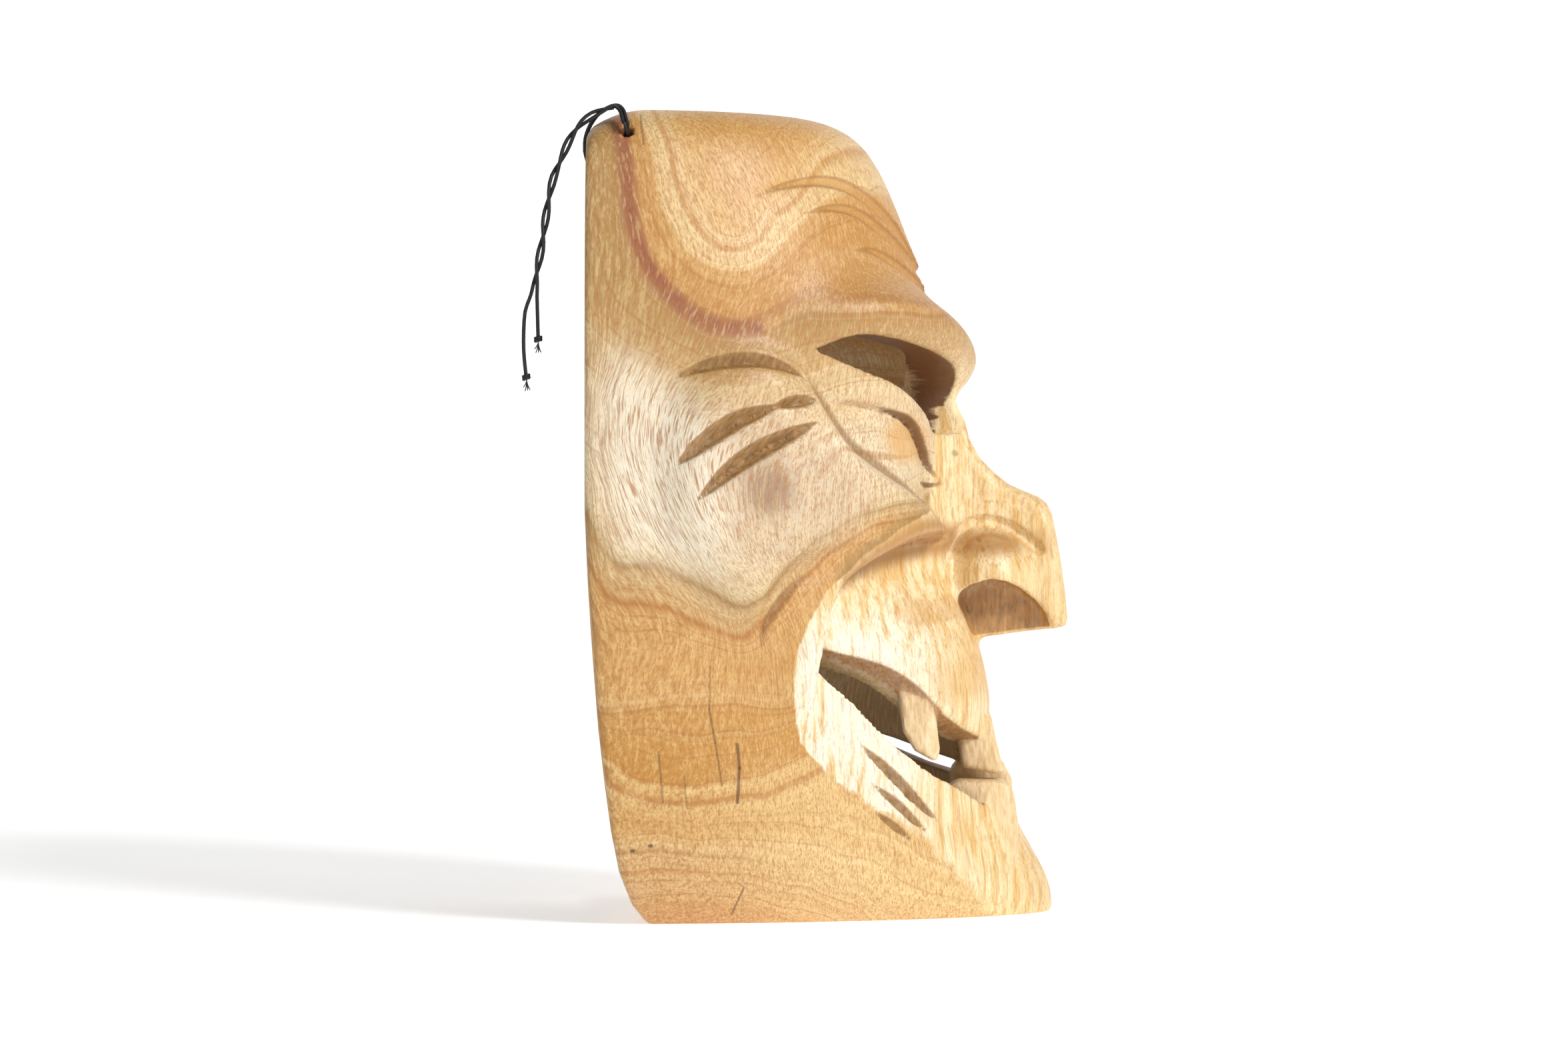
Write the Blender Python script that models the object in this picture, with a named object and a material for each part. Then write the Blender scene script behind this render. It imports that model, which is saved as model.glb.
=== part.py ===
"""A carved wooden mask of a grinning old man, with the doubled cord tied through its edge.

The mask is one hollow piece of wood. It is described as a carver marks out a block: plan
sections that change with height, a relief laid on them, a nose built out in front, and
cuts for the eyes, the mouth, the nostrils and the cord. The wood is solid where the field
made from all of these is below zero, and skin_of turns its surface into a mesh.

Units are metres, +Z is up, the face looks along -Y and the base stands on Z = 0. A place on
the face is given by its bearing, in degrees round from the rim (0) to the nose line (90),
and by its height on a mask drawn at DRAWN_HEIGHT.
"""

import math

import bmesh
import bpy
import numpy as np

# Driving sizes
HEIGHT = 0.240
HALF_WIDTH = 0.077
REACH = 0.144
WALL = 0.011
CROWN_WALL = 0.013
CHIN_WALL = 0.014
NOSE_ROOT = 0.006
CROWN_ROUND = 0.0058
FAR_SAG = 0.011
FLAT_TRIM = 0.0004
CORD_HOLE_RADIUS = 0.0019
CORD_DIAMETER = 0.0011
CORD_CLEARANCE = 0.0003

# The sizes that the outline and the carving are drawn at
DRAWN_HEIGHT = 0.240
DRAWN_HALF_WIDTH = 0.077
DRAWN_REACH = 0.144

# Fineness of the mesh, and the room left round the plain outline for the carving
CELL = 0.0020
MASK_TRIANGLES = 7600
CARVING_ROOM = 0.0040

# Plan sections: height, half width at the rim, reach of the front, roundness
SECTIONS = (
    (0.000, 0.0480, 0.1395, 1.90),
    (0.006, 0.0530, 0.1392, 1.90),
    (0.012, 0.0565, 0.1372, 1.90),
    (0.019, 0.0595, 0.1335, 1.90),
    (0.027, 0.0620, 0.1292, 1.90),
    (0.040, 0.0660, 0.1250, 1.92),
    (0.053, 0.0697, 0.1205, 1.95),
    (0.065, 0.0725, 0.1205, 1.97),
    (0.080, 0.0750, 0.1175, 2.00),
    (0.095, 0.0765, 0.1115, 2.05),
    (0.110, 0.0770, 0.1065, 2.10),
    (0.125, 0.0770, 0.1045, 2.20),
    (0.150, 0.0770, 0.1045, 2.20),
    (0.170, 0.0765, 0.1050, 2.20),
    (0.180, 0.0762, 0.1030, 2.20),
    (0.191, 0.0755, 0.1010, 2.20),
    (0.205, 0.0740, 0.0955, 2.20),
    (0.216, 0.0720, 0.0912, 2.20),
    (0.226, 0.0695, 0.0865, 2.25),
    (0.234, 0.0660, 0.0810, 2.30),
    (0.246, 0.0590, 0.0690, 2.30),
)
# The back edge leans forward towards the chin: height, forward of the wall plane
BACK_EDGE = (
    (0.000, 0.0175),
    (0.006, 0.0132),
    (0.016, 0.0096),
    (0.028, 0.0074),
    (0.043, 0.0056),
    (0.059, 0.0040),
    (0.082, 0.0024),
    (0.102, 0.0012),
    (0.130, 0.0000),
    (0.246, 0.0000),
)


def smooth_table(rows, at, column):
    """One column of a table of rows, read at heights with a smooth curve through the rows."""
    rows = np.array(rows)
    knots = rows[:, 0] * HEIGHT / DRAWN_HEIGHT
    values = rows[:, column]
    slopes = np.gradient(values, knots)
    at = np.clip(at, knots[0], knots[-1])
    i = np.clip(np.searchsorted(knots, at) - 1, 0, len(knots) - 2)
    span = knots[i + 1] - knots[i]
    t = (at - knots[i]) / span
    return (
        values[i] * (1 + 2 * t) * (1 - t) ** 2
        + values[i + 1] * t * t * (3 - 2 * t)
        + span * (slopes[i] * t * (1 - t) ** 2 - slopes[i + 1] * t * t * (1 - t))
    )


def section_radius(bearing, height):
    """Distance of the plain outline from the upright axis in the wall plane."""
    half_width = smooth_table(SECTIONS, height, 1) * HALF_WIDTH / DRAWN_HALF_WIDTH
    reach = smooth_table(SECTIONS, height, 2) * REACH / DRAWN_REACH
    roundness = smooth_table(SECTIONS, height, 3)
    across = (np.abs(np.cos(bearing)) / half_width) ** roundness
    ahead = (np.sin(bearing) / reach) ** roundness
    return (across + ahead) ** (-1 / roundness)


def smooth_min(a, b, blend):
    """The lower of two fields, with a fillet of about the blend's size."""
    h = np.clip(0.5 + 0.5 * (b - a) / blend, 0, 1)
    return b + (a - b) * h - blend * h * (1 - h)


def smooth_max(a, b, blend):
    return -smooth_min(-a, -b, blend)


def ease(t):
    t = np.clip(t, 0, 1)
    return t * t * (3 - 2 * t)


def spline(points, steps=6):
    """A smooth curve through points, as many short steps."""
    points = np.array(points, float)
    ends = np.vstack([2 * points[0] - points[1], points, 2 * points[-1] - points[-2]])
    t = np.linspace(0, 1, steps, endpoint=False)[:, None]
    runs = []
    for a, b, c, d in zip(ends, ends[1:], ends[2:], ends[3:]):
        runs.append(
            0.5 * (2 * b + (c - a) * t + (2 * a - 5 * b + 4 * c - d) * t**2 + (3 * b - a - 3 * c + d) * t**3)
        )
    return np.vstack([*runs, points[-1:]])


class Relief:
    """The carving of one half of the face, as heights above the plain outline."""

    def __init__(self, columns, rows):
        self.bearings = np.linspace(0, math.pi / 2, columns)
        self.heights = np.linspace(0, HEIGHT * 1.02, rows)
        self.bearing, self.height = np.meshgrid(self.bearings, self.heights, indexing="ij")
        self.plain = section_radius(self.bearing, self.height)
        self.rise = np.zeros_like(self.plain)
        self.points = self.in_space(self.bearing, self.height)

    def in_space(self, bearing, height):
        radius = section_radius(bearing, height)
        return np.stack([radius * np.cos(bearing), radius * np.sin(bearing), height], axis=-1)

    def on_face(self, marks):
        """A smooth run of (bearing in radians, height) through marks of (degrees, drawn height)."""
        run = spline(marks)
        run[:, 0] = np.radians(run[:, 0])
        run[:, 1] *= HEIGHT / DRAWN_HEIGHT
        return run

    def from_line(self, marks, margin=0.04):
        """For each place near a line: distance to it, how far along it, and which side."""
        run = self.on_face(marks)
        line = self.in_space(run[:, 0], run[:, 1])
        low = run.min(axis=0) - (margin / 0.07, margin)
        top = run.max(axis=0) + (margin / 0.07, margin)
        columns = slice(*np.searchsorted(self.bearings, (low[0], top[0])))
        rows = slice(*np.searchsorted(self.heights, (low[1], top[1])))
        window = (columns, rows)
        points = self.points[window]
        best = np.full(points.shape[:2], np.inf)
        along = np.zeros_like(best)
        side = np.ones_like(best)
        lengths = np.linalg.norm(np.diff(line, axis=0), axis=1)
        total = lengths.sum()
        passed = 0.0
        for i, length in enumerate(lengths):
            step = line[i + 1] - line[i]
            t = np.clip((points - line[i]) @ step / length**2, 0, 1)
            away = np.linalg.norm(points - line[i] - t[..., None] * step, axis=-1)
            nearer = away < best
            turn = (run[i + 1, 0] - run[i, 0]) * (self.height[window] - run[i, 1])
            turn -= (run[i + 1, 1] - run[i, 1]) * (self.bearing[window] - run[i, 0])
            best = np.where(nearer, away, best)
            along = np.where(nearer, (passed + t * length) / total, along)
            side = np.where(nearer, np.sign(turn), side)
            passed += length
        whole = [np.full(self.plain.shape, fill) for fill in (margin, 0.0, 1.0)]
        for table, part in zip(whole, (best, along, side)):
            table[window] = part
        return whole

    def inside(self, marks):
        """Distance inside a closed outline, negative outside it."""
        run = self.on_face([*marks, marks[0]])
        away = self.from_line([*marks, marks[0]])[0]
        odd = np.zeros(self.plain.shape, bool)
        for (a, low), (b, high) in zip(run, run[1:]):
            if low == high:
                continue
            crosses = (low > self.height) != (high > self.height)
            odd ^= crosses & (self.bearing < a + (b - a) * (self.height - low) / (high - low))
        return np.where(odd, away, -away)

    def ridge(self, marks, rise, above, below, ends=(0.15, 0.15)):
        """A rounded ridge along a line, with its own width on the upper and the lower side."""
        away, along, side = self.from_line(marks)
        width = np.where(side > 0, above, below)
        body = np.exp(-((away / width) ** 2))
        taper = ease(along / ends[0]) * ease((1 - along) / ends[1]) if ends else 1.0
        self.rise += rise * body * taper

    def groove(self, marks, width, depth, lean=0.0):
        """A gouge cut that runs out to a point at both ends, deepest towards its lower edge where it leans."""
        away, along, side = self.from_line(marks)
        taper = np.clip(4 * along * (1 - along), 0, 1) ** 0.8
        half = 0.5 * width * np.maximum(taper, 0.05)
        across = away * side / half
        if lean:
            cut = np.minimum((1 - across) / (1 + lean), (1 + across) / (1 - lean))
        else:
            cut = 1 - np.abs(across) ** 1.6
        self.rise -= depth * taper * np.clip(cut, 0, 1)

    def swelling(self, marks, rise, edge):
        """An area that stands out by rise, over an edge of its own width."""
        self.rise += rise * ease(0.5 + self.inside(marks) / edge)

    def step(self, marks, depth, edge, fade, ends=(0.2, 0.5)):
        """A sharp step down on the left of a line, which fades away from it."""
        away, along, side = self.from_line(marks)
        reached = away * side
        taper = ease(along / ends[0]) * ease((1 - along) / ends[1])
        drop = ease(0.5 + reached / edge) * np.exp(-np.clip(reached, 0, None) / fade)
        self.rise -= depth * drop * taper


# Marks on the face: bearing in degrees, drawn height
BROW_CREST = (
    (40, 0.1720), (46, 0.1765), (52, 0.1800), (59, 0.1812), (67, 0.1805), (75, 0.1775), (83, 0.1725), (90, 0.1685),
    (97, 0.1725),
)
EYE_OPENING_TOP = (
    (46.8, 0.1690), (53, 0.1733), (59, 0.1729), (66, 0.1711), (73, 0.1686), (79.5, 0.1652), (84, 0.1600),
    (86.2, 0.1535), (86.4, 0.1462),
)
EYE_OPENING_FOOT = (
    (46.8, 0.1690), (55, 0.1640), (64, 0.1600), (71, 0.1552), (76.5, 0.1507), (81.0, 0.1462), (86.4, 0.1462),
)
LID_EDGE = (
    (48.8, 0.1541), (56.8, 0.1537), (62.8, 0.1522), (69.6, 0.1495), (72.4, 0.1470), (74.6, 0.1440), (77, 0.1402),
    (79.6, 0.1363), (81.6, 0.1333), (83, 0.1307),
)
LID_CREASE = ((61, 0.1527), (66, 0.1510), (69.6, 0.1495), (72.4, 0.1470), (74.6, 0.1440), (77, 0.1402), (79.6, 0.1363),
              (81.6, 0.1333), (83, 0.1307))
EYE_FOOT = (
    (44.4, 0.1618), (46.5, 0.1568), (48.4, 0.1517), (50.7, 0.1467), (54, 0.1413), (58.2, 0.1367), (62.2, 0.1329),
    (66.4, 0.1291), (69.5, 0.1240),
)
EYE_CORNER = ((74.6, 0.1304), (79, 0.1299), (83.3, 0.1301))
CHEEK = (
    (48, 0.1535), (56, 0.1420), (65.5, 0.1310), (73, 0.1220), (79.5, 0.1145), (77, 0.1110), (66, 0.1095),
    (56, 0.1080), (46, 0.1060), (40, 0.0990), (35, 0.0920), (27, 0.1010), (20, 0.1180), (19, 0.1400),
    (24, 0.1580), (36, 0.1660),
)
FOLD_EDGE = (
    (83, 0.1136), (76, 0.1140), (70, 0.1136), (65.6, 0.1126), (61, 0.1100), (57.1, 0.1066), (53.6, 0.1018),
    (50.8, 0.0945), (49.3, 0.0860), (48.6, 0.0790), (47.8, 0.0700), (46.5, 0.0540),
)
FOLD_CREST = (
    (80, 0.1178), (72, 0.1176), (64, 0.1152), (56, 0.1098), (50, 0.1016), (47.0, 0.0910), (45.6, 0.0800), (44.5, 0.0540),
)
SMILE_LINE = ((57, 0.1130), (48, 0.1075), (41, 0.1020), (37.5, 0.0937), (37.0, 0.0840))
FOREHEAD_LINES = (
    ((37.5, 0.2134), (45, 0.2172), (55, 0.2192), (64, 0.2168), (76, 0.2075), (90, 0.1935)),
    ((48, 0.2092), (55, 0.2112), (62, 0.2103), (70, 0.2045), (80, 0.1955), (90, 0.1880)),
    ((58, 0.1990), (64, 0.1987), (73, 0.1930), (84, 0.1850), (90, 0.1820)),
)
TEMPLE_LINES = (
    ((19.0, 0.1602), (24, 0.1633), (29.3, 0.1652), (34.5, 0.1656), (39.6, 0.1639), (44.2, 0.1606)),
    ((18.6, 0.1348), (23.7, 0.1419), (29, 0.1475), (34.2, 0.1507), (38.0, 0.1524)),
    ((36.2, 0.1522), (40.4, 0.1536), (45.6, 0.1543)),
    ((22.0, 0.1244), (27.4, 0.1325), (33.1, 0.1389), (38.4, 0.1432), (45.0, 0.1480)),
)
TEMPLE_WIDTHS = (0.0048, 0.0060, 0.0042, 0.0060)
JAW_LINES = (
    ((57.2, 0.0536), (61.8, 0.0469), (65.1, 0.0412), (68.1, 0.0355), (71.6, 0.0288)),
    ((59.8, 0.0419), (64.4, 0.0358), (66.9, 0.0315), (70.0, 0.0258)),
    ((61.0, 0.0335), (64.8, 0.0285), (67.6, 0.0236)),
)
JAW_WIDTHS = (0.0034, 0.0027, 0.0023)
UPPER_LIP = (
    (48.6, 0.0815), (50.2, 0.0848), (54, 0.0825), (60.9, 0.0783), (65.2, 0.0740), (68, 0.0701), (71.5, 0.0641),
    (74, 0.0602), (81, 0.0545), (90, 0.0525),
)
FAR_UPPER_LIP = (
    (48.6, 0.0790), (50.0, 0.0800), (53, 0.0745), (57, 0.0665), (61, 0.0595), (65, 0.0543), (70, 0.0498),
    (76, 0.0462), (82, 0.0440), (86, 0.0460), (90, 0.0525),
)
LOWER_LIP = (
    (48.6, 0.0815), (50.6, 0.0750), (54.9, 0.0677), (58.9, 0.0606), (62.8, 0.0546), (66.3, 0.0497),
    (70.4, 0.0440), (74.6, 0.0397), (78.6, 0.0350), (83.3, 0.0307), (90, 0.0275),
)
FAR_LOWER_LIP = (
    (48.6, 0.0790), (50.6, 0.0745), (54, 0.0670), (58, 0.0593), (62, 0.0538), (66, 0.0498), (70, 0.0466),
    (76, 0.0430), (82, 0.0400), (86, 0.0345), (90, 0.0275),
)


def carved_relief(columns, rows):
    """Every swelling, fold and gouge cut of the face, in the order a carver makes them."""
    relief = Relief(columns, rows)
    relief.ridge(BROW_CREST, rise=0.0112, above=0.0080, below=0.0130, ends=(0.35, 0.02))
    relief.swelling(CHEEK, rise=0.0060, edge=0.016)
    relief.step(FOLD_EDGE, depth=0.0100, edge=0.0026, fade=0.024)
    relief.ridge(FOLD_CREST, rise=0.0026, above=0.0045, below=0.0080)
    relief.groove(SMILE_LINE, width=0.012, depth=0.0030)
    relief.step(LID_EDGE[::-1], depth=0.0030, edge=0.0012, fade=0.011, ends=(0.05, 0.15))
    relief.groove(LID_CREASE, width=0.0020, depth=0.0018)
    relief.groove(EYE_FOOT, width=0.0070, depth=0.0020)
    relief.groove(EYE_CORNER, width=0.0018, depth=0.0014)
    relief.groove(FOLD_EDGE[:7], width=0.0056, depth=0.0008)
    for marks in FOREHEAD_LINES:
        across_brow = [*marks, *[(180 - b, h) for b, h in marks[-2::-1]]]
        relief.groove(across_brow, width=0.0064, depth=0.0030)
    for marks, width in zip(TEMPLE_LINES, TEMPLE_WIDTHS):
        relief.groove(marks, width=width, depth=0.68 * width, lean=0.55)
    for marks, width in zip(JAW_LINES, JAW_WIDTHS):
        relief.groove(marks, width=width, depth=0.8 * width, lean=0.45)
    return relief


# The nose seen from the side: forward of the wall plane, height
NOSE_PROFILE = (
    (0.0900, 0.1580), (0.1085, 0.1575), (0.1128, 0.1500), (0.1143, 0.1442), (0.1176, 0.1382), (0.1224, 0.1334),
    (0.1262, 0.1303), (0.1310, 0.1282), (0.1352, 0.1265), (0.1378, 0.1245), (0.1394, 0.1212), (0.1406, 0.1152),
    (0.1418, 0.1080), (0.1431, 0.0986), (0.1440, 0.0892), (0.1432, 0.0870), (0.1393, 0.0862), (0.1297, 0.0852),
    (0.1176, 0.0836), (0.0900, 0.0800),
)
NOSTRIL_PROFILE = (
    (0.1085, 0.0960), (0.1140, 0.0998), (0.1200, 0.1017), (0.1250, 0.1008), (0.1297, 0.0984), (0.1340, 0.0950),
    (0.1369, 0.0914), (0.1386, 0.0870), (0.1390, 0.0780), (0.1000, 0.0780), (0.1000, 0.0900),
)
NOSE_WING = ((0.1205, 0.1010), (0.0150, 0.0172))
NOSE_GROOVES = (
    (((0.1060, 0.1075), (0.1115, 0.1165), (0.1185, 0.1190), (0.1265, 0.1170), (0.1350, 0.1105)), 0.0022, 0.0021),
    (((0.1180, 0.1262), (0.1240, 0.1262), (0.1310, 0.1232)), 0.0016, 0.0006),
)
BRIDGE_HALF = 0.0078
TIP_HALF = 0.0125
WING_REACH = 0.0215
SEPTUM_HALF = 0.0052

# The cord's bore slopes from the side of the crown down into the hollow. Its mouth is given as
# (away from the middle, forward, height)
BORE_MOUTH = (0.0660, 0.0119, 0.2325)
BORE_SLOPE = math.radians(37)
BORE_REACH = 0.019

# The hitch leaves the bore, goes over the crown, down behind the rim and back through the hollow
HITCH_IN_BORE = (-0.0180, -0.0110, -0.0040, 0.0030)
HITCH_OUTSIDE = (
    (0.0682, 0.0114, 0.2352), (0.0660, 0.0104, 0.2385), (0.0625, 0.0086, 0.2402), (0.0585, 0.0058, 0.2400),
    (0.0550, 0.0022, 0.2375), (0.0525, -0.0004, 0.2330), (0.0512, -0.0008, 0.2280), (0.0502, 0.0010, 0.2225),
    (0.0492, 0.0060, 0.2190), (0.0490, 0.0105, 0.2185),
)
# The two tails from the knot on the crown: away from the middle, forward, height
TAILS_TOGETHER = (
    (0.0640, 0.0078, 0.2398), (0.0638, 0.0050, 0.2388), (0.0636, 0.0018, 0.2374), (0.0634, -0.0010, 0.2354),
    (0.0630, -0.0032, 0.2330), (0.0628, -0.0050, 0.2301), (0.0627, -0.0064, 0.2270), (0.0626, -0.0080, 0.2232),
    (0.0625, -0.0095, 0.2196), (0.0624, -0.0107, 0.2148), (0.0622, -0.0116, 0.2096), (0.0621, -0.0122, 0.2056),
    (0.0621, -0.0129, 0.2005), (0.0620, -0.0138, 0.1957), (0.0620, -0.0146, 0.1911), (0.0620, -0.0152, 0.1862),
)
LONG_END = (
    (0.0621, -0.0160, 0.1836), (0.0622, -0.0172, 0.1800), (0.0622, -0.0176, 0.1745), (0.0622, -0.0176, 0.1690),
    (0.0621, -0.0172, 0.1640), (0.0620, -0.0168, 0.1605),
)
SHORT_END = ((0.0619, -0.0152, 0.1828), (0.0618, -0.0151, 0.1790), (0.0617, -0.0150, 0.1750), (0.0616, -0.0149, 0.1715))
TWIST_LENGTH = 0.022

# Teeth: outline in the side view (forward, height), middle and half width across the face, slant in plan
TEETH = (
    (((0.0915, 0.0720), (0.0990, 0.0720), (0.1030, 0.0600), (0.1042, 0.0505), (0.1029, 0.0470), (0.0965, 0.0506),
      (0.0930, 0.0562)), -0.0335, 0.0045, 0.35),
    (((0.1112, 0.0600), (0.1205, 0.0600), (0.1220, 0.0525), (0.1245, 0.0428), (0.1225, 0.0421), (0.1118, 0.0443),
      (0.1107, 0.0520)), -0.0080, 0.0060, 0.10),
    (((0.1060, 0.0180), (0.1070, 0.0385), (0.1105, 0.0409), (0.1243, 0.0406), (0.1270, 0.0375), (0.1284, 0.0280),
      (0.1284, 0.0180)), -0.0125, 0.0080, 0.10),
    (((0.1085, 0.0180), (0.1095, 0.0435), (0.1140, 0.0462), (0.1250, 0.0450), (0.1276, 0.0400), (0.1284, 0.0280),
      (0.1284, 0.0180)), 0.0115, 0.0075, -0.10),
    (((0.0930, 0.0720), (0.1010, 0.0720), (0.1040, 0.0600), (0.1046, 0.0520), (0.1028, 0.0490), (0.0972, 0.0520),
      (0.0945, 0.0580)), 0.0330, 0.0045, -0.35),
)

# The slit between the far lips in the side view, and how much it falls towards the far side
FAR_GAP = (
    (0.0870, 0.0528), (0.0920, 0.0512), (0.1030, 0.0470), (0.1120, 0.0438), (0.1150, 0.0418), (0.1120, 0.0410),
    (0.1030, 0.0438), (0.0920, 0.0486), (0.0860, 0.0508),
)
FAR_GAP_FALL = 0.057


def wide(value):
    return value * HALF_WIDTH / DRAWN_HALF_WIDTH


def deep(value):
    return value * REACH / DRAWN_REACH


def high(value):
    return value * HEIGHT / DRAWN_HEIGHT


def outline_field(marks, forward, height):
    """Signed distance to a closed outline in the side view, negative inside."""
    marks = [(deep(f), high(h)) for f, h in marks]
    away = np.full(forward.shape, np.inf)
    odd = np.zeros(forward.shape, bool)
    for (f0, h0), (f1, h1) in zip(marks, [*marks[1:], marks[0]]):
        df, dh = f1 - f0, h1 - h0
        t = np.clip(((forward - f0) * df + (height - h0) * dh) / (df * df + dh * dh), 0, 1)
        away = np.minimum(away, np.hypot(forward - f0 - t * df, height - h0 - t * dh))
        if h0 != h1:
            odd ^= ((h0 > height) != (h1 > height)) & (forward < f0 + df * (height - h0) / dh)
    return np.where(odd, -away, away)


def nose_body(aside, forward, height):
    """The nose before its nostrils are cut: a wedge on the side profile, with a wing on each side."""
    drop = np.clip((high(0.150) - height) / high(0.055), 0, 1)
    half = wide(BRIDGE_HALF) + (wide(TIP_HALF) - wide(BRIDGE_HALF)) * ease(drop)
    half = half + 0.62 * np.clip(deep(0.1120) - forward, 0, None)
    wedge = smooth_max(outline_field(NOSE_PROFILE, forward, height), aside - half, 0.005)
    (wing_f, wing_h), (wing_long, wing_tall) = NOSE_WING
    round_wing = np.sqrt(
        (aside / wide(WING_REACH)) ** 2
        + ((forward - deep(wing_f)) / deep(wing_long)) ** 2
        + ((height - high(wing_h)) / high(wing_tall)) ** 2
    )
    wing = (round_wing - 1) * wide(WING_REACH) * 0.75
    wing = smooth_max(wing, high(0.0845) - height, 0.002)
    body = smooth_min(wedge, wing, 0.0012)
    for marks, half_width, cut in NOSE_GROOVES:
        run = [(deep(f), high(h)) for f, h in spline(marks)]
        away = np.full(forward.shape, np.inf)
        for (f0, h0), (f1, h1) in zip(run, run[1:]):
            df, dh = f1 - f0, h1 - h0
            t = np.clip(((forward - f0) * df + (height - h0) * dh) / (df * df + dh * dh), 0, 1)
            away = np.minimum(away, np.hypot(forward - f0 - t * df, height - h0 - t * dh))
        body = body + cut * np.clip(1 - (away / half_width) ** 2, 0, 1) * (aside > 0.004)
    return body


def nostril_field(aside, forward, height):
    return smooth_max(outline_field(NOSTRIL_PROFILE, forward, height), wide(SEPTUM_HALF) - aside, 0.003)


def nose_field(aside, forward, height):
    return smooth_max(nose_body(aside, forward, height), -nostril_field(aside, forward, height), 0.0012)


def teeth_field(x, forward, height):
    """Blocks left standing in the mouth, each an outline in the side view with its own width."""
    found = np.full(x.shape, 1.0, x.dtype)
    for outline, middle, half_width, slant in TEETH:
        low, top = min(h for _, h in outline), max(h for _, h in outline)
        near = (height > high(low) - 0.006) & (height < high(top) + 0.006) & (forward > deep(outline[0][0]) - 0.008)
        if not near.any():
            continue
        f, h = forward[near], height[near]
        across = np.abs(x[near] - wide(middle) - slant * (f - deep(outline[0][0] + 0.006))) - half_width
        block = smooth_max(outline_field(outline, f, h), across, 0.0018)
        found[near] = np.minimum(found[near], block)
    return found


def blurred(values, reach):
    """Values smoothed along both directions of the face, by repeated short averages."""
    for axis in (0, 1):
        for _ in range(reach):
            edge = np.concatenate(
                [values.take([0], axis), values, values.take([-1], axis)], axis=axis
            )
            size = values.shape[axis]
            values = (
                edge.take(range(size), axis) + 2 * values + edge.take(range(2, size + 2), axis)
            ) / 4
    return values


class Mask:
    """The whole mask as one field, negative in the wood."""

    def __init__(self, columns=240, rows=400):
        relief = carved_relief(columns, rows)
        self.top = relief.heights[-1]
        self.plain = relief.plain.astype(np.float32)
        self.rise = relief.rise.astype(np.float32)
        self.soft_rise = blurred(blurred(relief.rise, rows // 8), rows // 8).astype(np.float32)
        self.eye = relief.inside([*EYE_OPENING_TOP, *EYE_OPENING_FOOT[-2:0:-1]]).astype(np.float32)
        self.mouths = [
            relief.inside([*upper, (97, 0.0525), (97, 0.0275), *lower[:0:-1]]).astype(np.float32)
            for upper, lower in ((UPPER_LIP, LOWER_LIP), (FAR_UPPER_LIP, FAR_LOWER_LIP))
        ]

    def read(self, table, bearing, height):
        """A table of the face, read between its marks."""
        columns, rows = table.shape
        a = np.clip(bearing / (math.pi / 2) * (columns - 1), 0, columns - 1.001)
        b = np.clip(height / self.top * (rows - 1), 0, rows - 1.001)
        i, j = a.astype(np.int32), b.astype(np.int32)
        a, b = a - i, b - j
        near, far = table[i, j] * (1 - b) + table[i, j + 1] * b, table[i + 1, j] * (1 - b) + table[i + 1, j + 1] * b
        return near * (1 - a) + far * a

    def drawn_height(self, x, bearing, height):
        """The height at which the carving was drawn that a place has: the far eye and brow sag."""
        sag = high(FAR_SAG) * ease(x / wide(0.030)) * ease((bearing - 0.72) / 0.25)
        sag = sag * ease((height - high(0.104)) / high(0.024)) * ease((high(0.224) - height) / high(0.038))
        return height + sag

    def openings(self, x, bearing, height, depth):
        """Distance inside the cuts of the eyes and of the mouth, negative outside them."""
        slant = 0.5 * ease((0.006 - x) / 0.012) * (1 - 0.75 * ease((bearing - 1.17) / 0.2))
        shifted = height + slant * np.clip(depth, -0.004, 0.02)
        near_mouth, far_mouth = (self.read(table, bearing, shifted) for table in self.mouths)
        eye = self.read(self.eye, bearing, self.drawn_height(x, bearing, height))
        gap = np.full(x.shape, -0.01)
        near = (height > high(0.034)) & (height < high(0.060)) & (x > 0)
        if near.any():
            ahead = ((self.read(self.plain, bearing, height) - depth) * np.sin(bearing))[near]
            gap[near] = -outline_field(FAR_GAP, ahead, height[near] + FAR_GAP_FALL * (x[near] - wide(0.030)))
            gap[near] = np.minimum(gap[near], x[near] - 0.003)
        return eye, np.where(x > 0, np.maximum(far_mouth, gap), near_mouth)

    def field(self, x, forward, height):
        aside = np.abs(x)
        radius = np.hypot(aside, forward)
        bearing = np.arctan2(np.clip(forward, 0, None), aside)
        carved = self.drawn_height(x, bearing, height)
        plain = self.read(self.plain, bearing, height)
        outer = plain + self.read(self.rise, bearing, carved)
        root = ease((bearing - 1.20) / 0.22) * ease((height - high(0.128)) / high(0.014))
        inner = plain + self.read(self.soft_rise, bearing, carved) - WALL - NOSE_ROOT * root

        lean = np.array(BACK_EDGE)
        back = np.interp(height, high(lean[:, 0]), deep(lean[:, 1]))
        wood = smooth_min(radius - outer, nose_field(aside, forward, height), 0.004)
        wood = smooth_max(wood, height - HEIGHT, 0.010)
        wood = smooth_max(wood, (height - HEIGHT + CROWN_ROUND - forward) * 0.7, 0.009)
        wood = smooth_max(wood, back - FLAT_TRIM - forward, 0.003)
        wood = smooth_max(wood, -FLAT_TRIM - height, 0.002)

        hollow = smooth_max(radius - inner, height - (HEIGHT - CROWN_WALL), 0.012)
        hollow = smooth_max(hollow, CHIN_WALL - height, 0.012)
        wood = smooth_max(wood, -hollow, 0.002)

        depth = plain - radius
        cut = np.minimum(np.maximum(*self.openings(x, bearing, height, depth)), 0.028 - depth)
        wood = smooth_max(wood, cut, 0.0015)

        return smooth_min(wood, teeth_field(x, forward, height), 0.0012)


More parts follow.
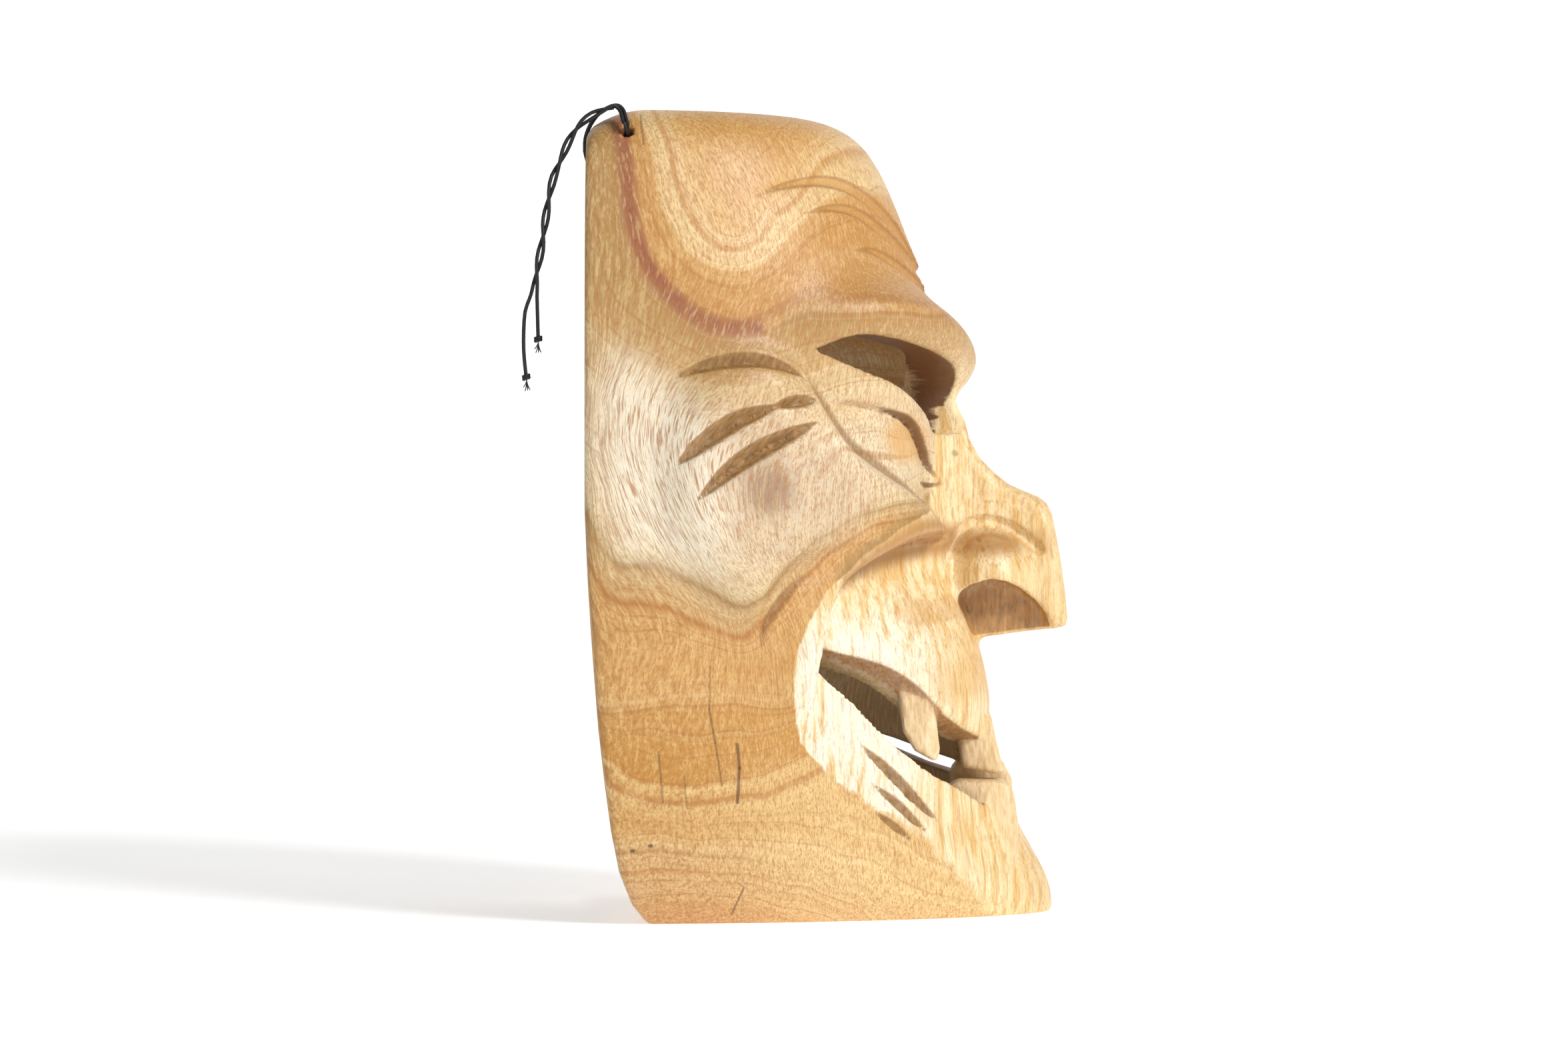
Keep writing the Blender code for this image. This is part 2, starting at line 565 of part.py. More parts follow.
def untangled(field):
    """The field filled here and there, until no cell is crossed by two separate sheets."""
    flat = field.reshape(-1)
    strides = np.array([field.shape[1] * field.shape[2], field.shape[2], 1])
    corners = np.array([(i, j, k) for i in (0, 1) for j in (0, 1) for k in (0, 1)])

    def views(solid, steps):
        spans = np.array(field.shape) - steps.max(axis=0)
        return [solid[tuple(slice(a, a + n) for a, n in zip(step, spans))] for step in steps]

    while True:
        solid = field < 0
        tangles = []
        for flat_axis in range(3):
            steps = corners[corners[:, flat_axis] == 0]
            a, b, c, d = views(solid, steps)
            twisted = (a == d) & (b == c) & (a != b)
            tangles.append((np.argwhere(twisted) @ strides)[:, None] + steps @ strides)
        parts = views(solid, corners)
        count = sum(part.astype(np.int8) for part in parts)
        for part, opposite in zip(parts[:4], parts[:3:-1]):
            lone = (part == opposite) & (count == np.where(part, 2, 6))
            tangles.append((np.argwhere(lone) @ strides)[:, None] + corners @ strides)
        if not any(len(found) for found in tangles):
            return field
        for found in tangles:
            values = flat[found]
            values[values < 0] = np.inf
            weakest = values.argmin(axis=1)
            flat[found[np.arange(len(found)), weakest]] = -1e-6


def skin_of(field_at, low, high_corner, cell):
    """Points and quads of the surface where a field is zero: one point in each cell that it crosses."""
    counts = [int(math.ceil((b - a) / cell)) + 1 for a, b in zip(low, high_corner)]
    axes = [a + cell * np.arange(n) for a, n in zip(low, counts)]
    slabs = [
        field_at(*np.meshgrid(part, axes[1], axes[2], indexing="ij"))
        for part in np.array_split(axes[0], max(1, counts[0] // 8))
    ]
    field = untangled(np.concatenate(slabs).astype(np.float32))
    solid = field < 0
    sums = np.zeros((field.size, 3), np.float32)
    hits = np.zeros(field.size, np.int32)
    strides = np.array([counts[1] * counts[2], counts[2], 1])
    quads = []
    for axis in range(3):
        near = tuple(slice(0, -1) if k == axis else slice(1, -1) for k in range(3))
        far = tuple(slice(1, None) if k == axis else slice(1, -1) for k in range(3))
        at = np.argwhere(solid[near] != solid[far])
        at += np.array([0 if k == axis else 1 for k in range(3)])
        here = at @ strides
        flat = field.reshape(-1)
        a, b = flat[here], flat[here + strides[axis]]
        crossing = at.astype(np.float32)
        crossing[:, axis] += a / (a - b)
        u, v = (axis + 1) % 3, (axis + 2) % 3
        corners = [here, here - strides[u], here - strides[u] - strides[v], here - strides[v]]
        for corner in corners:
            np.add.at(sums, corner, crossing)
            np.add.at(hits, corner, 1)
        quad = np.stack(corners, axis=1)
        quad[a > 0] = quad[a > 0][:, ::-1]
        quads.append(quad)
    quads = np.concatenate(quads)
    used = np.unique(quads)
    points = sums[used] / hits[used][:, None] * cell + np.array(low, np.float32)
    return points, np.searchsorted(used, quads)


def mask_points(mask, cell):
    """The mask's surface in the part's own frame."""
    margin = 2.5 * cell + FLAT_TRIM
    low = (-HALF_WIDTH - margin - CARVING_ROOM, -margin, -margin)
    top = (HALF_WIDTH + margin + CARVING_ROOM, REACH + margin + CARVING_ROOM, HEIGHT + margin)
    points, quads = skin_of(mask.field, low, top, cell)
    points[:, 1] = REACH / 2 - points[:, 1]
    return points, quads[:, ::-1]


def new_object(name, mesh):
    made = bpy.data.objects.new(name, mesh)
    bpy.context.scene.collection.objects.link(made)
    return made


def plain_material(name, colour, roughness):
    made = bpy.data.materials.new(name)
    made.use_nodes = True
    surface = made.node_tree.nodes["Principled BSDF"]
    surface.inputs["Base Color"].default_value = (*colour, 1.0)
    surface.inputs["Roughness"].default_value = roughness
    return made


def flat_cut(mesh, at, outward):
    """Takes off everything outside a plane and closes the cut exactly flat."""
    cells = mesh.verts[:] + mesh.edges[:] + mesh.faces[:]
    cut = bmesh.ops.bisect_plane(
        mesh, geom=cells, plane_co=at, plane_no=outward, clear_outer=True, dist=1e-5
    )["geom_cut"]
    edges = [part for part in cut if isinstance(part, bmesh.types.BMEdge)]
    bmesh.ops.triangle_fill(mesh, use_beauty=True, edges=edges, normal=outward)


def bore_point(along):
    """A point on the axis of the cord's bore: away from the middle, forward, height."""
    away, forward, height = BORE_MOUTH
    return (
        wide(away) + along * math.cos(BORE_SLOPE),
        deep(forward),
        high(height) + along * math.sin(BORE_SLOPE),
    )


def bore_cutter(side):
    """The drill for the bore on one side of the crown."""
    away, forward, height = bore_point(0)
    bpy.ops.mesh.primitive_cylinder_add(
        vertices=20,
        radius=CORD_HOLE_RADIUS,
        depth=2 * BORE_REACH,
        location=(side * away, REACH / 2 - forward, height),
        rotation=(0, side * (math.pi / 2 - BORE_SLOPE), 0),
    )
    cutter = bpy.context.object
    cutter.name = "bore_cutter_far" if side > 0 else "bore_cutter_near"
    cutter.hide_render = True
    cutter.display_type = "WIRE"
    return cutter


def make_mask(wood):
    """The wood: surface of the field, reduced, with its two flat faces cut true."""
    points, quads = mask_points(wood, CELL)
    mesh = bpy.data.meshes.new("mask")
    mesh.from_pydata(points.tolist(), [], quads.tolist())
    mask = new_object("mask", mesh)
    fewer = mask.modifiers.new("fewer", "DECIMATE")
    fewer.ratio = MASK_TRIANGLES / (2 * len(quads))
    fewer.use_collapse_triangulate = True
    reduced = mask.evaluated_get(bpy.context.evaluated_depsgraph_get())
    shape = bmesh.new()
    shape.from_mesh(reduced.to_mesh())
    mask.modifiers.remove(fewer)
    flat_cut(shape, (0, 0, 0), (0, 0, -1))
    flat_cut(shape, (0, REACH / 2, 0), (0, 1, 0))
    bmesh.ops.remove_doubles(shape, verts=shape.verts, dist=2e-5)
    bmesh.ops.triangulate(shape, faces=shape.faces)
    bmesh.ops.recalc_face_normals(shape, faces=shape.faces)
    shape.to_mesh(mesh)
    shape.free()
    for side in (-1, 1):
        cut = mask.modifiers.new("cord bore", "BOOLEAN")
        cut.operation = "DIFFERENCE"
        cut.object = bore_cutter(side)
    return mask


def cord_curve(name, points, diameter, closed):
    """A round cord through points, as a curve with a bevel."""
    curve = bpy.data.curves.new(name, "CURVE")
    curve.dimensions = "3D"
    curve.bevel_depth = diameter / 2
    curve.bevel_resolution = 2
    curve.use_fill_caps = not closed
    line = curve.splines.new("POLY")
    line.points.add(len(points) - 1)
    line.points.foreach_set("co", np.column_stack([points, np.ones(len(points))]).ravel())
    line.use_cyclic_u = closed
    return new_object(name, curve)


def to_part(place):
    """A place (away from the middle, forward, height) on the cord's side, in the part's own frame."""
    away, forward, height = place
    return (-away, REACH / 2 - forward, height)


def placed(marks):
    return np.array([to_part((wide(away), deep(forward), high(height))) for away, forward, height in marks])


def clear_of_wood(wood, points, distance):
    """Points moved straight out of the wood until they are at least a distance from it."""
    step = 2e-4
    for _ in range(12):
        at = (points[:, 0], REACH / 2 - points[:, 1], points[:, 2])
        here = wood.field(*at)
        slope = np.column_stack([
            wood.field(at[0] + step, at[1], at[2]) - here,
            here - wood.field(at[0], at[1] + step, at[2]),
            wood.field(at[0], at[1], at[2] + step) - here,
        ])
        slope /= np.linalg.norm(slope, axis=1)[:, None] + 1e-9
        points = points + slope * np.clip(distance - here, 0, 0.001)[:, None]
    return points


def make_cords(wood):
    """The hitch through the bore, and the twisted pair of tails that starts beside it and hangs behind the rim."""
    in_bore = [to_part(bore_point(along)) for along in HITCH_IN_BORE]
    outside = placed(HITCH_OUTSIDE)
    outside = clear_of_wood(wood, outside, CORD_DIAMETER + 3 * CORD_CLEARANCE)
    loop = [*in_bore, *outside]
    loop = spline([*loop[-2:], *loop, *loop[:2]], 3)
    gap = CORD_DIAMETER + CORD_CLEARANCE
    cords = [cord_curve("cord_hitch", loop[6:-4], 2 * CORD_DIAMETER, True)]
    for name, end, last_turn in (("cord_long", LONG_END, -math.pi / 2), ("cord_short", SHORT_END, math.pi / 2)):
        run = placed(spline([*TAILS_TOGETHER, *end], 2))
        run = clear_of_wood(wood, run, 1.3 * gap)
        passed = np.concatenate([[0], np.cumsum(np.linalg.norm(np.diff(run, axis=0), axis=1))])
        untwisted = passed[2 * (len(TAILS_TOGETHER) - 1)]
        angle = last_turn + 2 * math.pi * np.clip(untwisted - passed, 0, None) / TWIST_LENGTH
        along = np.gradient(run, axis=0)
        along /= np.linalg.norm(along, axis=1)[:, None]
        aside = np.cross(along, (1.0, 0.0, 0.0))
        out = np.cross(aside, along)
        ring = aside * np.sin(angle)[:, None] + out * np.cos(angle)[:, None]
        strand = run + 0.54 * gap * ring
        to_hitch = np.linalg.norm(strand[:, None] - loop[None], axis=2).min(axis=1)
        beside = np.flatnonzero(to_hitch < 1.5 * CORD_DIAMETER + 4 * CORD_CLEARANCE)
        first = beside.max() + 1 if len(beside) else 0
        cords.append(cord_curve(name, strand[first:], CORD_DIAMETER, False))
    return cords


def main():
    for old in list(bpy.data.objects):
        bpy.data.objects.remove(old)
    wood = Mask()
    mask = make_mask(wood)
    mask.data.materials.append(plain_material("varnished wood", (0.62, 0.43, 0.22), 0.38))
    black = plain_material("waxed cord", (0.02, 0.02, 0.022), 0.6)
    cords = make_cords(wood)
    for cord in cords:
        cord.data.materials.append(black)
    cutters = [cut.object for cut in mask.modifiers]
    for name, members in (("wooden_mask", [mask, *cords]), ("cutters", cutters)):
        home = bpy.data.collections.new(name)
        bpy.context.scene.collection.children.link(home)
        for member in members:
            for old_home in list(member.users_collection):
                old_home.objects.unlink(member)
            home.objects.link(member)


if __name__ == "__main__":
    main()
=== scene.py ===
"""A carved wooden mask of a grinning old man, with its hanging cord, on a pale studio floor.

The mask is one piece of varnished, strongly figured wood. Its shape is a field that is negative
in the wood, described as a carver marks out a block: plan sections, a relief laid on them, a nose
and cuts. Its grain is drawn the same way, by the lines that the growth rings and the fibres make
on the side of the face. A place on the side is given as (forward of the wall plane, height).

Units are metres, +Z is up, the face looks along -Y and the base stands on Z = 0.
"""

import math

import bmesh
import bpy
import numpy as np
from bpy.props import FloatProperty, FloatVectorProperty, PointerProperty
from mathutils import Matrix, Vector


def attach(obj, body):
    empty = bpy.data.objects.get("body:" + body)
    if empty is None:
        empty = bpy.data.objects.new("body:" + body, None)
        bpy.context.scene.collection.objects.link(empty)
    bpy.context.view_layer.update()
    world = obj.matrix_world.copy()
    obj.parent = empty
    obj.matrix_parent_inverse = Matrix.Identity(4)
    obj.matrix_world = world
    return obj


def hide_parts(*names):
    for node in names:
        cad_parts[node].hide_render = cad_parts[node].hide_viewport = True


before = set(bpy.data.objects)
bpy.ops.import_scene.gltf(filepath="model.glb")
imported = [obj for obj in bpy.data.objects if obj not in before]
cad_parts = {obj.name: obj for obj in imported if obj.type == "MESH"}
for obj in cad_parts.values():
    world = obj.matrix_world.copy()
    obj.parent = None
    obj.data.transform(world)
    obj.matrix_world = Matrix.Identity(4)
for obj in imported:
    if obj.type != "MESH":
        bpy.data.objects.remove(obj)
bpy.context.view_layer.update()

bl_info = {
    "name": "Carved Wooden Mask",
    "version": (1, 0, 0),
    "blender": (4, 5, 0),
    "location": "3D View > Sidebar > Mask",
    "description": "Makes a carved and varnished wooden mask, its hanging cord and a plain studio",
    "category": "Add Mesh",
}

# Driving sizes, as the solid has them
HEIGHT = 0.240
HALF_WIDTH = 0.077
REACH = 0.144
WALL = 0.011
CROWN_WALL = 0.013
CHIN_WALL = 0.014
NOSE_ROOT = 0.006
CROWN_ROUND = 0.0058
FAR_SAG = 0.011
FLAT_TRIM = 0.0004
CORD_HOLE_RADIUS = 0.0019
CORD_DIAMETER = 0.0011
CORD_CLEARANCE = 0.0003

# The sizes that the outline and the carving are drawn at
DRAWN_HEIGHT = 0.240
DRAWN_HALF_WIDTH = 0.077
DRAWN_REACH = 0.144

# Fineness of the wood's mesh, and the room left round the plain outline for the carving
CELL = 0.0012
MASK_TRIANGLES = 192000
CARVING_ROOM = 0.0040

# Columns and rows of the tables that hold the carving, for the wood and for the cord that lies on it
FACE_TABLE = (340, 560)
CORD_FACE_TABLE = (200, 320)

# Fillets of the wood's edges
NOSE_FILLET = 0.004
CROWN_FILLET = 0.010
CORNER_FILLET = 0.009
RIM_FILLET = 0.003
FOOT_FILLET = 0.002
HOLLOW_FILLET = 0.012
INNER_EDGE_FILLET = 0.002
OPENING_FILLET = 0.0015
TOOTH_FILLET = 0.0012

# How deep the eyes and the mouth are cut from the plain outline
CUT_REACH = 0.028

# Plan sections: height, half width at the rim, reach of the front, roundness
SECTIONS = (
    (0.000, 0.0480, 0.1395, 1.90),
    (0.006, 0.0530, 0.1392, 1.90),
    (0.012, 0.0565, 0.1372, 1.90),
    (0.019, 0.0595, 0.1335, 1.90),
    (0.027, 0.0620, 0.1292, 1.90),
    (0.040, 0.0660, 0.1250, 1.92),
    (0.053, 0.0697, 0.1205, 1.95),
    (0.065, 0.0725, 0.1205, 1.97),
    (0.080, 0.0750, 0.1175, 2.00),
    (0.095, 0.0765, 0.1115, 2.05),
    (0.110, 0.0770, 0.1065, 2.10),
    (0.125, 0.0770, 0.1045, 2.20),
    (0.150, 0.0770, 0.1045, 2.20),
    (0.170, 0.0765, 0.1050, 2.20),
    (0.180, 0.0762, 0.1030, 2.20),
    (0.191, 0.0755, 0.1010, 2.20),
    (0.205, 0.0740, 0.0955, 2.20),
    (0.216, 0.0720, 0.0912, 2.20),
    (0.226, 0.0695, 0.0865, 2.25),
    (0.234, 0.0660, 0.0810, 2.30),
    (0.246, 0.0590, 0.0690, 2.30),
)
# The back edge leans forward towards the chin: height, forward of the wall plane
BACK_EDGE = (
    (0.000, 0.0175),
    (0.006, 0.0132),
    (0.016, 0.0096),
    (0.028, 0.0074),
    (0.043, 0.0056),
    (0.059, 0.0040),
    (0.082, 0.0024),
    (0.102, 0.0012),
    (0.130, 0.0000),
    (0.246, 0.0000),
)


def smooth_table(rows, at, column):
    """One column of a table of rows, read at heights with a smooth curve through the rows."""
    rows = np.array(rows)
    knots = rows[:, 0] * HEIGHT / DRAWN_HEIGHT
    values = rows[:, column]
    slopes = np.gradient(values, knots)
    at = np.clip(at, knots[0], knots[-1])
    i = np.clip(np.searchsorted(knots, at) - 1, 0, len(knots) - 2)
    span = knots[i + 1] - knots[i]
    t = (at - knots[i]) / span
    return (
        values[i] * (1 + 2 * t) * (1 - t) ** 2
        + values[i + 1] * t * t * (3 - 2 * t)
        + span * (slopes[i] * t * (1 - t) ** 2 - slopes[i + 1] * t * t * (1 - t))
    )


def section_radius(bearing, height):
    """Distance of the plain outline from the upright axis in the wall plane."""
    half_width = smooth_table(SECTIONS, height, 1) * HALF_WIDTH / DRAWN_HALF_WIDTH
    reach = smooth_table(SECTIONS, height, 2) * REACH / DRAWN_REACH
    roundness = smooth_table(SECTIONS, height, 3)
    across = (np.abs(np.cos(bearing)) / half_width) ** roundness
    ahead = (np.sin(bearing) / reach) ** roundness
    return (across + ahead) ** (-1 / roundness)


def smooth_min(a, b, blend):
    """The lower of two fields, with a fillet of about the blend's size."""
    h = np.clip(0.5 + 0.5 * (b - a) / blend, 0, 1)
    return b + (a - b) * h - blend * h * (1 - h)


def smooth_max(a, b, blend):
    return -smooth_min(-a, -b, blend)


def ease(t):
    t = np.clip(t, 0, 1)
    return t * t * (3 - 2 * t)


def spline(points, steps=6):
    """A smooth curve through points, as many short steps."""
    points = np.array(points, float)
    ends = np.vstack([2 * points[0] - points[1], points, 2 * points[-1] - points[-2]])
    t = np.linspace(0, 1, steps, endpoint=False)[:, None]
    runs = []
    for a, b, c, d in zip(ends, ends[1:], ends[2:], ends[3:]):
        runs.append(
            0.5
            * (2 * b + (c - a) * t + (2 * a - 5 * b + 4 * c - d) * t**2 + (3 * b - a - 3 * c + d) * t**3)
        )
    return np.vstack([*runs, points[-1:]])


class Relief:
    """The carving of one half of the face, as heights above the plain outline."""

    def __init__(self, columns, rows):
        self.bearings = np.linspace(0, math.pi / 2, columns)
        self.heights = np.linspace(0, HEIGHT * 1.02, rows)
        self.bearing, self.height = np.meshgrid(self.bearings, self.heights, indexing="ij")
        self.plain = section_radius(self.bearing, self.height)
        self.rise = np.zeros_like(self.plain)
        self.points = self.in_space(self.bearing, self.height)
        self.cut_tones_and_shade = {name: np.full_like(self.plain, -0.01) for name in CUT_TONES_AND_SHADE}

    def in_space(self, bearing, height):
        radius = section_radius(bearing, height)
        return np.stack([radius * np.cos(bearing), radius * np.sin(bearing), height], axis=-1)

    def on_face(self, marks):
        """A smooth run of (bearing in radians, height) through marks of (degrees, drawn height)."""
        run = spline(marks)
        run[:, 0] = np.radians(run[:, 0])
        run[:, 1] *= HEIGHT / DRAWN_HEIGHT
        return run

    def from_line(self, marks, margin=0.04):
        """For each place near a line: distance to it, how far along it, and which side."""
        run = self.on_face(marks)
        line = self.in_space(run[:, 0], run[:, 1])
        low = run.min(axis=0) - (margin / 0.07, margin)
        top = run.max(axis=0) + (margin / 0.07, margin)
        columns = slice(*np.searchsorted(self.bearings, (low[0], top[0])))
        rows = slice(*np.searchsorted(self.heights, (low[1], top[1])))
        window = (columns, rows)
        points = self.points[window]
        best = np.full(points.shape[:2], np.inf)
        along = np.zeros_like(best)
        side = np.ones_like(best)
        lengths = np.linalg.norm(np.diff(line, axis=0), axis=1)
        total = lengths.sum()
        passed = 0.0
        for i, length in enumerate(lengths):
            step = line[i + 1] - line[i]
            t = np.clip((points - line[i]) @ step / length**2, 0, 1)
            away = np.linalg.norm(points - line[i] - t[..., None] * step, axis=-1)
            nearer = away < best
            turn = (run[i + 1, 0] - run[i, 0]) * (self.height[window] - run[i, 1])
            turn -= (run[i + 1, 1] - run[i, 1]) * (self.bearing[window] - run[i, 0])
            best = np.where(nearer, away, best)
            along = np.where(nearer, (passed + t * length) / total, along)
            side = np.where(nearer, np.sign(turn), side)
            passed += length
        whole = [np.full(self.plain.shape, fill) for fill in (margin, 0.0, 1.0)]
        for table, part in zip(whole, (best, along, side)):
            table[window] = part
        return whole

    def inside(self, marks):
        """Distance inside a closed outline, negative outside it."""
        run = self.on_face([*marks, marks[0]])
        away = self.from_line([*marks, marks[0]])[0]
        odd = np.zeros(self.plain.shape, bool)
        for (a, low), (b, high) in zip(run, run[1:]):
            if low == high:
                continue
            crosses = (low > self.height) != (high > self.height)
            odd ^= crosses & (self.bearing < a + (b - a) * (self.height - low) / (high - low))
        return np.where(odd, away, -away)

    def ridge(self, marks, rise, above, below, ends=(0.15, 0.15)):
        """A rounded ridge along a line, with its own width on the upper and the lower side."""
        away, along, side = self.from_line(marks)
        width = np.where(side > 0, above, below)
        body = np.exp(-((away / width) ** 2))
        taper = ease(along / ends[0]) * ease((1 - along) / ends[1])
        self.rise += rise * body * taper

    def groove(self, marks, width, depth, lean=0.0, tone_and_shade=None):
        """A gouge cut with pointed ends, which is deepest towards its lower edge where it leans."""
        away, along, side = self.from_line(marks)
        taper = np.clip(4 * along * (1 - along), 0, 1) ** 0.8
        half = 0.5 * width * np.maximum(taper, 0.05)
        # The cut is marked in a table for the colour laid on it: painted shade, on bare wood for the gouges
        if tone_and_shade:
            self.cut_tones_and_shade[tone_and_shade] = np.maximum(self.cut_tones_and_shade[tone_and_shade], half - away)
        across = away * side / half
        if lean:
            cut = np.minimum((1 - across) / (1 + lean), (1 + across) / (1 - lean))
        else:
            cut = 1 - np.abs(across) ** 1.6
        self.rise -= depth * taper * np.clip(cut, 0, 1)

    def swelling(self, marks, rise, edge):
        """An area that stands out by rise, over an edge of its own width."""
        self.rise += rise * ease(0.5 + self.inside(marks) / edge)

    def step(self, marks, depth, edge, fade, ends=(0.2, 0.5)):
        """A sharp step down on the left of a line, which fades away from it."""
        away, along, side = self.from_line(marks)
        reached = away * side
        taper = ease(along / ends[0]) * ease((1 - along) / ends[1])
        drop = ease(0.5 + reached / edge) * np.exp(-np.clip(reached, 0, None) / fade)
        self.rise -= depth * drop * taper


# Places whose colour differs: gouge cuts, bare wood with painted shade; the wide bands of the forehead,
# with a painted shade line at their edges; and painted shade in thin creases, on the facet under the cheek
# and in the valleys between eye and cheek and beside the smile
CUT_TONES_AND_SHADE = ("gouge", "band", "crease", "facet", "valley")

# Marks on the face: bearing in degrees, drawn height
BROW_CREST = (
    (40, 0.1720), (46, 0.1765), (52, 0.1800), (59, 0.1812), (67, 0.1805), (75, 0.1775), (83, 0.1725),
    (90, 0.1685), (97, 0.1725),
)
EYE_OPENING_TOP = (
    (46.8, 0.1690), (53, 0.1733), (59, 0.1729), (66, 0.1711), (73, 0.1686), (79.5, 0.1652), (84, 0.1600),
    (86.2, 0.1535), (86.4, 0.1462),
)
EYE_OPENING_FOOT = (
    (46.8, 0.1690), (55, 0.1640), (64, 0.1600), (71, 0.1552), (76.5, 0.1507), (81.0, 0.1462),
    (86.4, 0.1462),
)
LID_EDGE = (
    (48.8, 0.1541), (56.8, 0.1537), (62.8, 0.1522), (69.6, 0.1495), (72.4, 0.1470), (74.6, 0.1440),
    (77, 0.1402), (79.6, 0.1363), (81.6, 0.1333), (83, 0.1307),
)
LID_CREASE = ((61, 0.1527), (66, 0.1510), *LID_EDGE[3:])
EYE_FOOT = (
    (44.4, 0.1618), (46.5, 0.1568), (48.4, 0.1517), (50.7, 0.1467), (54, 0.1413), (58.2, 0.1367),
    (62.2, 0.1329), (66.4, 0.1291), (69.5, 0.1240),
)
EYE_CORNER = ((74.6, 0.1304), (79, 0.1299), (83.3, 0.1301))
CHEEK = (
    (48, 0.1535), (56, 0.1420), (65.5, 0.1310), (73, 0.1220), (79.5, 0.1145), (77, 0.1110), (66, 0.1095),
    (56, 0.1080), (46, 0.1060), (40, 0.0990), (35, 0.0920), (27, 0.1010), (20, 0.1180), (19, 0.1400),
    (24, 0.1580), (36, 0.1660),
)
FOLD_EDGE = (
    (83, 0.1136), (76, 0.1140), (70, 0.1136), (65.6, 0.1126), (61, 0.1100), (57.1, 0.1066),
    (53.6, 0.1018), (50.8, 0.0945), (49.3, 0.0860), (48.6, 0.0790), (47.8, 0.0700), (46.5, 0.0540),
)
FOLD_CREST = (
    (80, 0.1178), (72, 0.1176), (64, 0.1152), (56, 0.1098), (50, 0.1016), (47.0, 0.0910), (45.6, 0.0800),
    (44.5, 0.0540),
)
SMILE_LINE = ((57, 0.1130), (48, 0.1075), (41, 0.1020), (37.5, 0.0937), (37.0, 0.0840))
SMILE_CREASE = ((45.5, 0.1040), (41.6, 0.0985), (39.2, 0.0935), (37.4, 0.0880), (36.9, 0.0820))
FOREHEAD_LINES = (
    ((37.5, 0.2134), (45, 0.2172), (55, 0.2192), (64, 0.2168), (76, 0.2075), (90, 0.1935)),
    ((48, 0.2092), (55, 0.2112), (62, 0.2103), (70, 0.2045), (80, 0.1955), (90, 0.1880)),
    ((58, 0.1990), (64, 0.1987), (73, 0.1930), (84, 0.1850), (90, 0.1820)),
)
TEMPLE_LINES = (
    ((19.0, 0.1602), (24, 0.1633), (29.3, 0.1652), (34.5, 0.1656), (39.6, 0.1639), (44.2, 0.1606)),
    ((18.6, 0.1348), (23.7, 0.1419), (29, 0.1475), (34.2, 0.1507), (38.0, 0.1524)),
    ((36.2, 0.1522), (40.4, 0.1536), (45.6, 0.1543)),
    ((22.0, 0.1244), (27.4, 0.1325), (33.1, 0.1389), (38.4, 0.1432), (45.0, 0.1480)),
)
TEMPLE_WIDTHS = (0.0048, 0.0060, 0.0042, 0.0060)
JAW_LINES = (
    ((57.2, 0.0536), (61.8, 0.0469), (65.1, 0.0412), (68.1, 0.0355), (71.6, 0.0288)),
    ((59.8, 0.0419), (64.4, 0.0358), (66.9, 0.0315), (70.0, 0.0258)),
    ((61.0, 0.0335), (64.8, 0.0285), (67.6, 0.0236)),
)
JAW_WIDTHS = (0.0034, 0.0027, 0.0023)
UPPER_LIP = (
    (48.6, 0.0815), (50.2, 0.0848), (54, 0.0825), (60.9, 0.0783), (65.2, 0.0740), (68, 0.0701),
    (71.5, 0.0641), (74, 0.0602), (81, 0.0545), (90, 0.0525),
)
FAR_UPPER_LIP = (
    (48.6, 0.0790), (50.0, 0.0800), (53, 0.0745), (57, 0.0665), (61, 0.0595), (65, 0.0543), (70, 0.0498),
    (76, 0.0462), (82, 0.0440), (86, 0.0460), (90, 0.0525),
)
LOWER_LIP = (
    (48.6, 0.0815), (50.6, 0.0750), (54.9, 0.0677), (58.9, 0.0606), (62.8, 0.0546), (66.3, 0.0497),
    (70.4, 0.0440), (74.6, 0.0397), (78.6, 0.0350), (83.3, 0.0307), (90, 0.0275),
)
FAR_LOWER_LIP = (
    (48.6, 0.0790), (50.6, 0.0745), (54, 0.0670), (58, 0.0593), (62, 0.0538), (66, 0.0498), (70, 0.0466),
    (76, 0.0430), (82, 0.0400), (86, 0.0345), (90, 0.0275),
)


def carved_relief(columns, rows):
    """Every swelling, fold and gouge cut of the face, in the order a carver makes them."""
    relief = Relief(columns, rows)
    relief.ridge(BROW_CREST, rise=0.0112, above=0.0080, below=0.0130, ends=(0.35, 0.02))
    relief.swelling(CHEEK, rise=0.0060, edge=0.016)
    relief.step(FOLD_EDGE, depth=0.0100, edge=0.0026, fade=0.024)
    relief.ridge(FOLD_CREST, rise=0.0026, above=0.0045, below=0.0080)
    relief.groove(SMILE_LINE, width=0.012, depth=0.0030)
    relief.step(LID_EDGE[::-1], depth=0.0030, edge=0.0012, fade=0.011, ends=(0.05, 0.15))
    relief.groove(LID_CREASE, width=0.0020, depth=0.0018, tone_and_shade="crease")
    relief.groove(EYE_FOOT, width=0.0100, depth=0.0028)
    relief.groove(EYE_FOOT, width=0.0040, depth=0.0004, tone_and_shade="valley")
    relief.groove(SMILE_CREASE, width=0.0026, depth=0.0010, tone_and_shade="valley")
    relief.groove(EYE_CORNER, width=0.0018, depth=0.0014, tone_and_shade="crease")
    relief.groove(FOLD_EDGE[:7], width=0.0056, depth=0.0008, tone_and_shade="facet")
    for marks in FOREHEAD_LINES:
        across_brow = [*marks, *[(180 - b, h) for b, h in marks[-2::-1]]]
        relief.groove(across_brow, width=0.0064, depth=0.0030, tone_and_shade="band")
    for marks, width in zip(TEMPLE_LINES, TEMPLE_WIDTHS):
        relief.groove(marks, width=width, depth=0.68 * width, lean=0.55, tone_and_shade="gouge")
    for marks, width in zip(JAW_LINES, JAW_WIDTHS):
        relief.groove(marks, width=width, depth=0.8 * width, lean=0.45, tone_and_shade="gouge")
    return relief


